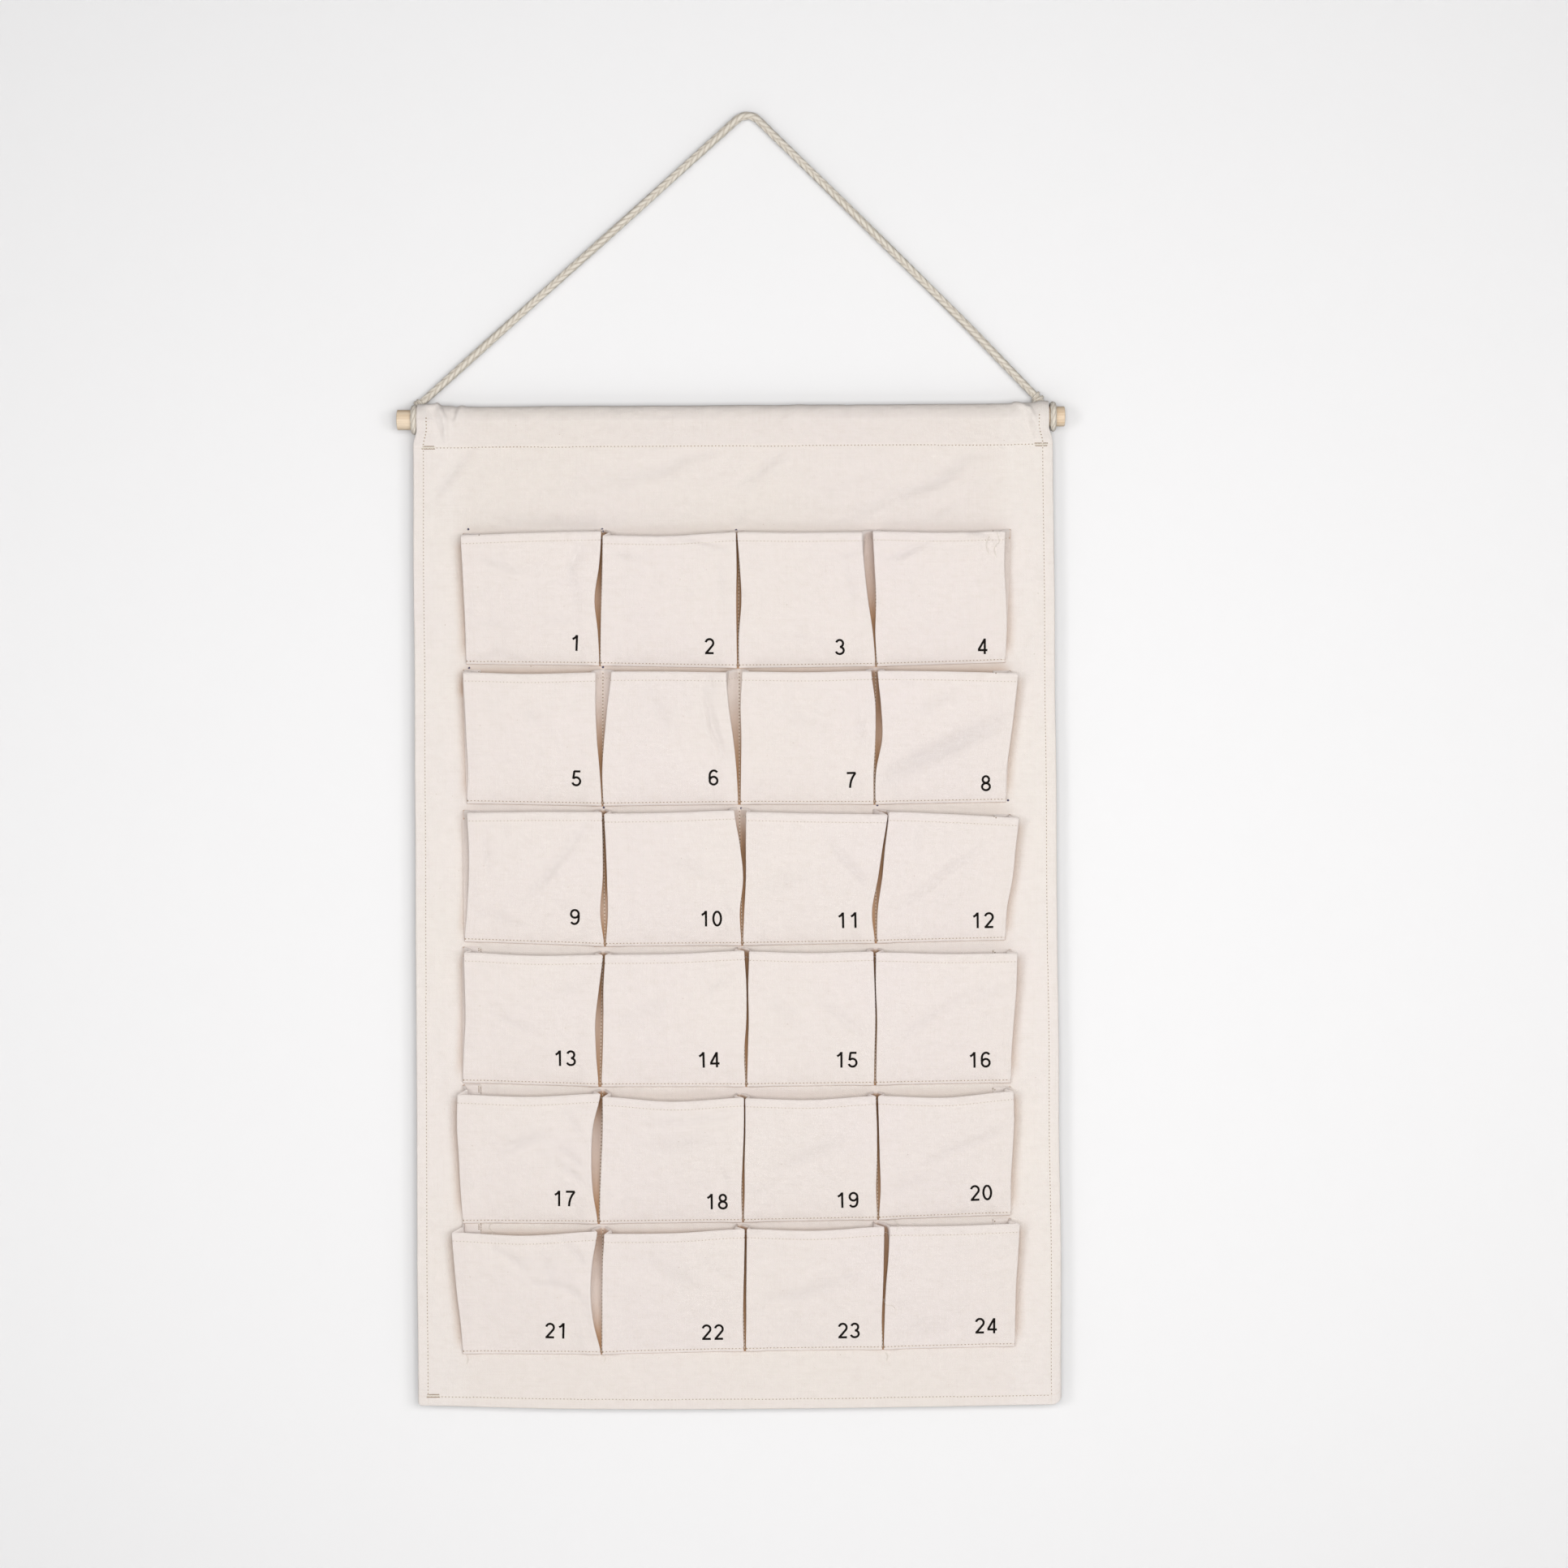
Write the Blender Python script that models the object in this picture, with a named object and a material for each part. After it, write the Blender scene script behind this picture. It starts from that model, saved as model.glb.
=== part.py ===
"""A fabric advent calendar: a canvas wall hanging with twenty-four sewn pockets.

A wooden dowel runs through a sleeve at the top of the cloth. A cord is tied round both
ends of the dowel and hangs over a hook, and the origin is where the cord rests on it.
+Z is up, the pockets face -Y, and X runs along the dowel. Everything is in metres.
"""

import math

import bmesh
import bpy
from mathutils import Vector

# Cloth
cloth_thickness = 0.0007
piece_gap = 0.0003
hem_plies = 2

# Backing panel
panel_width = 0.480
panel_length = 0.742
panel_centre_x = -0.0115
side_hem_width = 0.0080
left_corner_radius = 0.0022
right_corner_radius = 0.0065
corner_segments = 3

# Dowel
dowel_diameter = 0.0150
dowel_overhang = 0.0100
dowel_offset = -0.0022
dowel_drop = 0.2255
dowel_forward = 0.0085
dowel_edge_round = 0.0006
dowel_edge_steps = 2
dowel_sides = 32

# Sleeve round the dowel
sleeve_clearance = 0.0004
seam_drop = 0.0200
panel_forward_of_dowel = 0.0025
sleeve_end_inset = 0.0035
sleeve_top_inset = 0.0014
sleeve_arc_steps = 12
tunnel_floor_plies = 3
ply_fall_shares = (0.35, 0.71)
ply_draw_shares = (0.22, 0.66)

# Pocket rows
columns = 4
rows = 6
side_margin = 0.0350
first_mouth_drop = 0.0876
bottom_margin = 0.0369
row_gap = 0.0065
mouth_depth = 0.0130
foot_depth = 0.0030
gusset_ply = 0.0080
seam_flange = 0.0020
mouth_hem_height = 0.0065
hem_ledge = 0.0004
foot_flat_margin = 0.0016
foot_dip = 0.0060
front_belly = 0.0012
seam_rise = 0.0024
longest_mitre = 2.0

# How much of that rise each point of the mouth has, from a seam inward to the front
seam_rise_shares = (1.0, 1.0, 0.5, 0.0, 0.0, 0.0)

# Heights along a pocket at which its section is drawn, from the foot to the hem
section_height_shares = (0.0, 0.35, 0.68)

# How far each row's mouth stands above its even place, as shares of the row pitch
row_shift_shares = (0.0, -0.005, -0.005, -0.010, -0.028, 0.003)

# The height of each row as a share of the pocket height
row_height_shares = (1.006, 0.993, 1.005, 1.017, 0.971, 0.948)

# How far each pocket's two front corners stand inside its own seams, as shares of the
# pocket pitch: left side at mouth, middle and foot, then right side at the same heights
front_edge_shares = (
    ((-0.01, 0.01, 0.03), (0.01, 0.06, 0.03)),
    ((0.04, -0.01, 0.01), (0.02, 0.02, 0.02)),
    ((0.02, 0.04, 0.01), (0.10, 0.06, 0.01)),
    ((0.01, 0.00, 0.02), (0.05, 0.03, 0.03)),
    ((0.01, 0.02, 0.04), (0.06, 0.06, 0.02)),
    ((0.05, 0.04, 0.01), (0.05, 0.03, 0.02)),
    ((0.03, 0.03, 0.02), (0.02, 0.04, 0.02)),
    ((0.02, 0.04, 0.01), (-0.06, -0.02, 0.02)),
    ((0.02, 0.03, 0.04), (0.02, 0.04, 0.01)),
    ((0.03, 0.03, 0.03), (0.03, 0.00, -0.02)),
    ((0.05, 0.06, 0.05), (-0.10, -0.05, 0.01)),
    ((0.12, 0.09, 0.02), (-0.06, -0.01, 0.04)),
    ((0.01, 0.01, 0.02), (0.01, 0.05, 0.02)),
    ((0.02, 0.03, 0.02), (-0.05, -0.03, -0.04)),
    ((0.08, 0.07, 0.07), (0.01, 0.01, 0.02)),
    ((0.02, 0.02, 0.01), (-0.06, -0.03, -0.01)),
    ((-0.03, -0.01, 0.01), (0.01, 0.03, 0.04)),
    ((0.02, 0.02, -0.01), (-0.03, -0.02, -0.03)),
    ((0.06, 0.05, 0.05), (-0.01, 0.01, -0.02)),
    ((0.03, 0.03, 0.05), (-0.03, -0.02, -0.01)),
    ((-0.06, -0.02, 0.01), (0.05, 0.06, 0.01)),
    ((0.02, 0.03, 0.01), (-0.04, -0.03, -0.05)),
    ((0.08, 0.07, 0.07), (-0.07, -0.05, -0.06)),
    ((0.11, 0.10, 0.08), (-0.07, -0.03, 0.00)),
)

# Cord
cord_diameter = 0.0058
cord_point_spacing = 0.0150
cord_bevel_steps = 2
loop_strand_width = 0.0044
loop_strand_thickness = 0.0034
loop_segments = 24
loop_sides = 8
knot_radius = 0.0042
knot_length = 0.0080
knot_waist_share = 0.86
knot_shoulder_share = 0.72
knot_crest_share = 0.6
knot_segments = 12
left_knot_inward = 0.0025
left_knot_rise = 0.0123
right_knot_inward = 0.0110
right_knot_rise = 0.0151

# The right knot's strand, which runs down behind the sleeve to its loop
neck_radius = 0.0015
neck_outward = 0.0035
neck_behind = 0.0107
neck_rise = 0.0060
neck_turn_degrees = 75

# The cord's route from the left knot over the hook to the right knot, in metres
cord_route = (
    (-0.2448, 0.0, -0.2104),
    (-0.2050, 0.0, -0.1749),
    (-0.1650, 0.0, -0.1394),
    (-0.1250, 0.0, -0.1040),
    (-0.0850, 0.0, -0.0686),
    (-0.0450, 0.0, -0.0329),
    (-0.0200, 0.0, -0.0106),
    (-0.0081, 0.0, 0.0000),
    (-0.0043, 0.0, 0.0022),
    (0.0000, 0.0, 0.0029),
    (0.0043, 0.0, 0.0020),
    (0.0078, 0.0, -0.0003),
    (0.0200, 0.0, -0.0124),
    (0.0450, 0.0, -0.0370),
    (0.0850, 0.0, -0.0766),
    (0.1250, 0.0, -0.1163),
    (0.1650, 0.0, -0.1567),
    (0.2050, 0.0, -0.1985),
    (0.2135, 0.0, -0.2073),
)

# Points closer than this are one point
merge_distance = 0.000002

# Colours as linear RGB
canvas_colour = (0.81, 0.76, 0.70, 1.0)
wood_colour = (0.72, 0.55, 0.36, 1.0)
cord_colour = (0.74, 0.71, 0.63, 1.0)
cloth_roughness = 0.92
wood_roughness = 0.55

# Worked out from the sizes above
half_cloth = cloth_thickness / 2
dowel_radius = dowel_diameter / 2
cord_radius = cord_diameter / 2
half_strand_width = loop_strand_width / 2
half_strand = loop_strand_thickness / 2
dowel_length = panel_width + 2 * dowel_overhang
dowel_x = panel_centre_x + dowel_offset
dowel_y = -dowel_forward
dowel_z = -dowel_drop
panel_y = dowel_y - panel_forward_of_dowel
panel_front_y = panel_y - half_cloth
panel_left = panel_centre_x - panel_width / 2
panel_right = panel_centre_x + panel_width / 2
seam_z = dowel_z - seam_drop
panel_bottom = dowel_z - panel_length
pocket_pitch = (panel_width - 2 * side_margin) / columns
row_pitch = (panel_length - first_mouth_drop - bottom_margin + row_gap) / rows
pocket_height = row_pitch - row_gap
sleeve_inner_radius = dowel_radius + sleeve_clearance
sleeve_outer_radius = sleeve_inner_radius + cloth_thickness
loop_radius = dowel_radius + piece_gap + half_strand
sleeve_left = panel_left + sleeve_end_inset
sleeve_right = panel_right - sleeve_end_inset
left_loop_x = sleeve_left - piece_gap - half_strand_width
right_loop_x = sleeve_right + piece_gap + half_strand_width


def clear_scene():
    """Remove whatever the file holds before the model is built."""
    for item in list(bpy.data.objects):
        bpy.data.objects.remove(item, do_unlink=True)


def make_material(name, colour, roughness):
    """One Principled material with a plain colour."""
    material = bpy.data.materials.new(name)
    material.use_nodes = True
    shader = material.node_tree.nodes["Principled BSDF"]
    shader.inputs["Base Color"].default_value = colour
    shader.inputs["Roughness"].default_value = roughness
    shader.inputs["Metallic"].default_value = 0.0
    material.diffuse_color = colour
    return material


def add_object(name, data, material):
    """Link mesh or curve data into the scene under its own name and material."""
    item = bpy.data.objects.new(name, data)
    item.data.materials.append(material)
    bpy.context.collection.objects.link(item)
    return item


def mesh_from(name, vertices, faces):
    """A mesh with points that coincide joined and its faces turned to point outwards."""
    mesh = bpy.data.meshes.new(name)
    mesh.from_pydata(vertices, [], faces)
    shape = bmesh.new()
    shape.from_mesh(mesh)
    bmesh.ops.remove_doubles(shape, verts=shape.verts, dist=merge_distance)
    bmesh.ops.recalc_face_normals(shape, faces=shape.faces)
    shape.to_mesh(mesh)
    shape.free()
    return mesh


def skin_between(rings, closed=False):
    """The points of equal closed rings and the faces that join each ring to the next."""
    count = len(rings[0])
    vertices = [point for ring in rings for point in ring]
    faces = []
    spans = len(rings) if closed else len(rings) - 1
    for span in range(spans):
        here = span * count
        there = (here + count) % len(vertices)
        for i in range(count):
            j = (i + 1) % count
            faces.append((here + i, here + j, there + j, there + i))
    return vertices, faces


def loft(rings):
    """Join equal closed rings of points into one skin with a flat cap at each end."""
    vertices, faces = skin_between(rings)
    count = len(rings[0])
    faces.append(tuple(range(count)))
    faces.append(tuple(range(len(vertices) - count, len(vertices))))
    return vertices, faces


def loft_sheet(rings):
    """Join rings drawn down one side of a sheet and back up the other, capped ply to ply."""
    vertices, faces = skin_between(rings)
    count = len(rings[0])
    for first in (0, len(vertices) - count):
        last = first + count - 1
        for i in range(count // 2 - 1):
            faces.append((first + i, first + i + 1, last - i - 1, last - i))
    return vertices, faces


# Backing panel

def panel_outline():
    """Corners of the hanging cloth seen from the front, its two lower ones rounded."""
    top = seam_z - piece_gap
    left_centre = panel_left + left_corner_radius
    right_centre = panel_right - right_corner_radius
    points = [(panel_right, top), (panel_left, top)]
    for centre_x, radius, start in (
        (left_centre, left_corner_radius, math.pi),
        (right_centre, right_corner_radius, 1.5 * math.pi),
    ):
        for step in range(corner_segments + 1):
            turn = start + 0.5 * math.pi * step / corner_segments
            x = centre_x + radius * math.cos(turn)
            z = panel_bottom + radius + radius * math.sin(turn)
            points.append((x, z))
    return points


def hem_edge(point):
    """Where the folded hem ends on the back of the cloth, inside a point of its outline."""
    x, z = point
    low_x, high_x = panel_left + side_hem_width, panel_right - side_hem_width
    low_z, high_z = panel_bottom + side_hem_width, seam_z - piece_gap - side_hem_width
    return (low_x if x < panel_centre_x else high_x, high_z if z > low_z else low_z)


def build_panel(material):
    """One cloth whose edges are folded to the back, where the hem stands proud."""
    back_y = panel_front_y + cloth_thickness
    hem_y = back_y + hem_plies * cloth_thickness
    edge = panel_outline()
    inside = [hem_edge(point) for point in edge]
    rings = []
    for outline, y in ((edge, panel_front_y), (edge, hem_y), (inside, hem_y), (inside, back_y)):
        rings.append([(x, y, z) for x, z in outline])
    vertices, faces = loft(rings)
    mesh = mesh_from("backing_panel", vertices, faces)
    return add_object("backing_panel", mesh, material)


# Sleeve

def sleeve_side(radius, side, seam_half_gap):
    """Points of one ply from beside the dowel down to the seam, on the front (-1) or back (1)."""
    seam_y = panel_y + side * seam_half_gap
    start_y = dowel_y + side * radius
    points = []
    for fall_share, draw_share in zip(ply_fall_shares, ply_draw_shares):
        z = dowel_z - fall_share * seam_drop
        points.append((start_y + (seam_y - start_y) * draw_share, z))
    return points


def sleeve_profile(radius, seam_half_gap, seam_end_z):
    """A closed teardrop round the dowel in the Y-Z plane, which narrows to the seam."""
    points = []
    for step in range(sleeve_arc_steps + 1):
        turn = math.pi * step / sleeve_arc_steps
        points.append((dowel_y - radius * math.cos(turn), dowel_z + radius * math.sin(turn)))
    points += sleeve_side(radius, 1, seam_half_gap)
    points.append((panel_y + seam_half_gap, seam_end_z))
    points.append((panel_y - seam_half_gap, seam_end_z))
    points += reversed(sleeve_side(radius, -1, seam_half_gap))
    return points


def sleeve_end_x(z, side):
    """The sleeve's ends draw in beside the dowel, where the cord loops press on them."""
    loop_bottom_z = dowel_z - loop_radius - half_strand - piece_gap
    rise_share = min(1.0, max(0.0, (z - seam_z) / (loop_bottom_z - seam_z)))
    top_share = max(0.0, (z - dowel_z) / sleeve_outer_radius)
    inset = sleeve_end_inset * rise_share + sleeve_top_inset * top_share
    return panel_centre_x + side * (panel_width / 2 - inset)


def build_sleeve(material):
    """The panel's top end, folded over the dowel and sewn down behind."""
    tunnel_floor = seam_z + tunnel_floor_plies * cloth_thickness
    outer = sleeve_profile(sleeve_outer_radius, cloth_thickness, seam_z)
    inner = sleeve_profile(sleeve_inner_radius, half_cloth, tunnel_floor)
    rings = []
    for profile, side in ((outer, -1), (outer, 1), (inner, 1), (inner, -1)):
        rings.append([(sleeve_end_x(z, side), y, z) for y, z in profile])
    vertices, faces = skin_between(rings, closed=True)
    return add_object("rod_sleeve", mesh_from("rod_sleeve", vertices, faces), material)


# Pockets

def offset_side(points, distances, side):
    """Points moved square to their path, to the left (1) or right (-1), mitred at the bends."""
    moved = []
    for i, point in enumerate(points):
        ahead = (points[i + 1] - point).normalized() if i + 1 < len(points) else None
        behind = (point - points[i - 1]).normalized() if i else None
        ahead, behind = ahead or behind, behind or ahead
        normal_ahead = Vector((-ahead.y, ahead.x)) * side
        normal_behind = Vector((-behind.y, behind.x)) * side
        mitre = (normal_ahead + normal_behind).normalized()
        stretch = 1 / mitre.dot(normal_ahead)
        outside_the_bend = normal_ahead.dot(behind) > 0
        if outside_the_bend:
            stretch = min(stretch, longest_mitre)
        moved.append(point + mitre * distances[i] * stretch)
    return moved


def share_between(values, height_share):
    """Read a (mouth, middle, foot) triple at a height between foot (0) and mouth (1)."""
    mouth, middle, foot = values
    if height_share < 0.5:
        return foot + (middle - foot) * height_share * 2
    return middle + (mouth - middle) * (height_share * 2 - 1)


def half_section(seam_x, corner_x, height_share, inward):
    """The cloth's path from a seam, through the folded gusset, to the front of one side."""
    flat = piece_gap + half_cloth
    depth = foot_depth + (mouth_depth - foot_depth) * height_share
    fold_depth = (flat + depth) / 2
    half_fall = (depth - flat) / 2
    reach = math.sqrt(gusset_ply**2 - half_fall**2)
    fold_x = (seam_x + corner_x) / 2 + inward * reach
    land_x = corner_x + inward * (reach + foot_flat_margin)
    front = flat + (mouth_depth - flat) * height_share
    return [
        Vector((seam_x, flat)),
        Vector((seam_x + inward * seam_flange, flat)),
        Vector((fold_x, fold_depth)),
        Vector((corner_x, depth)),
        Vector((land_x, depth)),
        Vector((land_x + inward * foot_dip, front)),
    ]


def pocket_section(column, edges, height_share):
    """The whole strip's path across one pocket, from its left seam to its right seam."""
    first_seam = panel_centre_x - columns * pocket_pitch / 2
    left_seam = first_seam + column * pocket_pitch
    right_seam = left_seam + pocket_pitch
    left_corner = left_seam + pocket_pitch * share_between(edges[0], height_share)
    right_corner = right_seam - pocket_pitch * share_between(edges[1], height_share)
    left = half_section(left_seam + piece_gap / 2, left_corner, height_share, 1)
    right = half_section(right_seam - piece_gap / 2, right_corner, height_share, -1)
    belly = front_belly * math.sin(math.pi * height_share)
    middle = (left[-1] + right[-1]) / 2 + Vector((0, belly))
    return left + [middle] + right[::-1]


def pocket_ring(path, z, hem_ply, rise):
    """The strip's section at one height with its cloth thickness, as one closed ring."""
    outer = [half_cloth] * len(path)
    inner = [half_cloth] * len(path)
    for i in range(3, len(path) - 3):
        inner[i] += hem_ply
    heights = [z + rise * share for share in seam_rise_shares]
    heights += [z] + heights[::-1]
    skin = offset_side(path, outer, 1) + offset_side(path, inner, -1)[::-1]
    return [(x, panel_front_y - depth, h) for (x, depth), h in zip(skin, heights * 2)]


def build_pocket(number, material):
    """One pocket of a strip: its front, both folded gussets and the hem of its mouth."""
    row, column = divmod(number - 1, columns)
    edges = front_edge_shares[number - 1]
    height = pocket_height * row_height_shares[row]
    mouth_z = dowel_z - first_mouth_drop - row_pitch * (row - row_shift_shares[row])
    hem_share = 1 - mouth_hem_height / height
    ledge_share = hem_share - hem_ledge / height
    stations = [(share, 0.0, 0.0) for share in section_height_shares]
    stations.append((ledge_share, 0.0, seam_rise))
    stations.append((hem_share, cloth_thickness, seam_rise))
    stations.append((1.0, cloth_thickness, seam_rise))
    rings = []
    for share, hem_ply, rise in stations:
        path = pocket_section(column, edges, share)
        rings.append(pocket_ring(path, mouth_z - height * (1 - share), hem_ply, rise))
    vertices, faces = loft_sheet(rings)
    name = f"pocket_{number:02d}"
    return add_object(name, mesh_from(name, vertices, faces), material)


# Dowel

def build_dowel(material):
    """A plain round rod whose origin lies on its own axis."""
    shape = bmesh.new()
    bmesh.ops.create_cone(
        shape,
        cap_ends=True,
        segments=dowel_sides,
        radius1=dowel_radius,
        radius2=dowel_radius,
        depth=dowel_length,
    )
    mesh = bpy.data.meshes.new("dowel")
    shape.to_mesh(mesh)
    shape.free()
    dowel = add_object("dowel", mesh, material)
    dowel.location = (dowel_x, dowel_y, dowel_z)
    dowel.rotation_euler = (0, math.radians(90), 0)
    edge = dowel.modifiers.new("Eased ends", "BEVEL")
    edge.width = dowel_edge_round
    edge.segments = dowel_edge_steps
    edge.limit_method = "ANGLE"
    edge.angle_limit = math.radians(60)
    mesh.shade_smooth()
    mesh.set_sharp_from_angle(angle=math.radians(40))
    return dowel


# Cord

def loop_rings(centre_x):
    """Rings of the cord where it passes once round the dowel."""
    rings = []
    for step in range(loop_segments):
        turn = 2 * math.pi * step / loop_segments
        ring = []
        for side in range(loop_sides):
            angle = 2 * math.pi * side / loop_sides
            reach = loop_radius + half_strand * math.cos(angle)
            x = centre_x + half_strand_width * math.sin(angle)
            ring.append((x, dowel_y + reach * math.sin(turn), dowel_z + reach * math.cos(turn)))
        rings.append(ring)
    return rings


def knot_profile():
    """Distance along the strand and radius of the wraps that make the knot."""
    half = knot_length / 2
    waist = knot_radius * knot_waist_share
    shoulder = knot_radius * knot_shoulder_share
    return (
        (-half, shoulder),
        (-half * knot_crest_share, knot_radius),
        (0.0, waist),
        (half * knot_crest_share, knot_radius),
        (half, shoulder),
    )


def knot_stations(centre, strand_end):
    """Centres and radii of the knot's wraps, along the strand that leaves it."""
    axis = (Vector(strand_end) - centre).normalized()
    return [(centre + axis * along, radius) for along, radius in knot_profile()]


def neck_stations(loop_x, knot_centre):
    """Centres and radii of the strand behind the sleeve, from the right loop to its knot."""
    turn = math.radians(neck_turn_degrees)
    foot_y = dowel_y + loop_radius * math.sin(turn)
    foot_z = dowel_z + loop_radius * math.cos(turn)
    bend = (knot_centre.x + neck_outward, dowel_y + neck_behind, dowel_z + neck_rise)
    return [(Vector((loop_x, foot_y, foot_z)), neck_radius), (Vector(bend), neck_radius)]


def strand_cutter(name, stations):
    """A body round a path of centre points, each with its own radius."""
    rings = []
    for i, (centre, radius) in enumerate(stations):
        before = stations[max(i - 1, 0)][0]
        after = stations[min(i + 1, len(stations) - 1)][0]
        axis = (after - before).normalized()
        upward = axis.cross(Vector((0, 1, 0))).normalized()
        across = upward.cross(axis)
        ring = []
        for side in range(knot_segments):
            turn = 2 * math.pi * side / knot_segments
            spoke = across * math.cos(turn) + upward * math.sin(turn)
            ring.append(tuple(centre + spoke * radius))
        rings.append(ring)
    vertices, faces = loft(rings)
    cutter = bpy.data.objects.new(name, mesh_from(name, vertices, faces))
    bpy.context.collection.objects.link(cutter)
    cutter.hide_render = True
    cutter.display_type = "WIRE"
    return cutter


def build_cord_loop(name, centre_x, stations, material):
    """The cord's turn round the dowel, joined to the body of its knot."""
    vertices, faces = skin_between(loop_rings(centre_x), closed=True)
    loop = add_object(name, mesh_from(name, vertices, faces), material)
    union = loop.modifiers.new("Knot", "BOOLEAN")
    union.operation = "UNION"
    union.object = strand_cutter(name + "_knot_shape", stations)
    return loop


def build_left_loop(material):
    """The left loop, whose knot sits right on it, above and behind the dowel."""
    centre = Vector((left_loop_x + left_knot_inward, 0, dowel_z + left_knot_rise))
    stations = knot_stations(centre, cord_route[0])
    return build_cord_loop("left_cord_loop", left_loop_x, stations, material)


def build_right_loop(material):
    """The right loop, whose knot stands further in, with a strand behind the sleeve."""
    centre = Vector((right_loop_x - right_knot_inward, 0, dowel_z + right_knot_rise))
    stations = neck_stations(right_loop_x, centre) + knot_stations(centre, cord_route[-1])
    return build_cord_loop("right_cord_loop", right_loop_x, stations, material)


def curve_through(points):
    """Points read from a smooth curve through the route, closer together where it bends."""
    points = [Vector(point) for point in points]
    smooth = []
    for i in range(len(points) - 1):
        here, there = points[i], points[i + 1]
        before = points[i - 1] if i else here * 2 - there
        after = points[i + 2] if i + 2 < len(points) else there * 2 - here
        span = (there - here).length
        leave = (there - before) * span / (there - before).length
        arrive = (after - here) * span / (after - here).length
        steps = max(1, round(span / cord_point_spacing))
        for step in range(steps):
            t = step / steps
            smooth.append(
                here * (2 * t**3 - 3 * t**2 + 1)
                + leave * (t**3 - 2 * t**2 + t)
                + there * (3 * t**2 - 2 * t**3)
                + arrive * (t**3 - t**2)
            )
    smooth.append(points[-1])
    return smooth


def build_cord(material):
    """The free cord between its two knots, over the hook."""
    route = curve_through(cord_route)
    curve = bpy.data.curves.new("hanging_cord", "CURVE")
    curve.dimensions = "3D"
    curve.bevel_depth = cord_radius
    curve.bevel_resolution = cord_bevel_steps
    curve.use_fill_caps = True
    spline = curve.splines.new("POLY")
    spline.points.add(len(route) - 1)
    for target, point in zip(spline.points, route):
        target.co = (*point, 1)
    length = sum((b - a).length for a, b in zip(route, route[1:]))
    print(f"hanging cord: {len(route)} points, {length * 1000:.1f} mm between its knots")
    return add_object("hanging_cord", curve, material)


def main():
    clear_scene()
    canvas = make_material("canvas", canvas_colour, cloth_roughness)
    wood = make_material("wood", wood_colour, wood_roughness)
    cord = make_material("cord", cord_colour, cloth_roughness)
    build_panel(canvas)
    build_sleeve(canvas)
    for number in range(1, rows * columns + 1):
        build_pocket(number, canvas)
    build_dowel(wood)
    build_left_loop(cord)
    build_right_loop(cord)
    build_cord(cord)


main()
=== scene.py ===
"""Looks of the fabric advent calendar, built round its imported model.

The canvas is made as the sheets that it is sewn from: one long cloth whose top end wraps
the dowel, and six strips that fold into twenty-four pockets. Then come thread, printed
numbers, the braided cord and the wooden rod. Everything is in metres, +Z up, front to -Y.
"""

import math
import random

import bpy
from mathutils import Matrix, Vector, noise
from mathutils.bvhtree import BVHTree


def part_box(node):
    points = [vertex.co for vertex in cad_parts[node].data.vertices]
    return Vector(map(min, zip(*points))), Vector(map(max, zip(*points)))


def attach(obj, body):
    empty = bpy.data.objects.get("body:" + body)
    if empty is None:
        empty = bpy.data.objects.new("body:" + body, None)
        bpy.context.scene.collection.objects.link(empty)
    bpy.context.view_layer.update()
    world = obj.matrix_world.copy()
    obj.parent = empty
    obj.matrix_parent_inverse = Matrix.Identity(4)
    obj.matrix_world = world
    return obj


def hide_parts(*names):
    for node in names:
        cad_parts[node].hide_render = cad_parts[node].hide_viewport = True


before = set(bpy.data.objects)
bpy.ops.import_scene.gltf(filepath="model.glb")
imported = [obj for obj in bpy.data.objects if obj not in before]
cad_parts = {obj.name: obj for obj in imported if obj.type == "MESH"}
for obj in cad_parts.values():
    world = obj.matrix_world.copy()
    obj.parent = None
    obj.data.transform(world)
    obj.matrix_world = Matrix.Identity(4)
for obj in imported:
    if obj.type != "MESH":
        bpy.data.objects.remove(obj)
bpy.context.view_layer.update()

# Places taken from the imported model
panel_low, panel_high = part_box("backing_panel")
dowel_low, dowel_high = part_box("dowel")
left_loop_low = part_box("left_cord_loop")[0]
right_loop_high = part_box("right_cord_loop")[1]

# Cloth
cloth_thickness = 0.0007
half_cloth = cloth_thickness / 2
hem_roll_radius = 0.00045
side_hem = 0.0080
panel_front = panel_low.y
panel_middle_y = panel_front + half_cloth
panel_left = panel_low.x
panel_right = panel_high.x
panel_bottom = panel_low.z

# Dowel and the sleeve that goes round it
dowel_radius = (dowel_high.z - dowel_low.z) / 2
dowel_y = (dowel_low.y + dowel_high.y) / 2
dowel_z = (dowel_low.z + dowel_high.z) / 2
sleeve_clearance = 0.00075
sleeve_radius = dowel_radius + sleeve_clearance
seam_drop = 0.0200
seam_z = dowel_z - seam_drop

# Pocket strips
rows = 6
columns = 4
wall_length = 0.0160
flange_length = 0.0130
seam_floor_half = 0.0013
mouth_depth = 0.0132
foot_depth = 0.0026
foot_rest_depth = 0.0011
seam_top_rise = 0.0024
front_belly = 0.0012

# The photograph: 1932 pixels a side, turned a little, taken square on
photo_middle = 966
panel_middle_pixel = 908
pixel_size = 0.0006076
photo_turn = math.radians(0.31)
camera_distance = 2.4
camera_x = 0.0246
camera_z = -0.4999
camera_y = panel_front - camera_distance
sensor_size = 36.0

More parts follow.
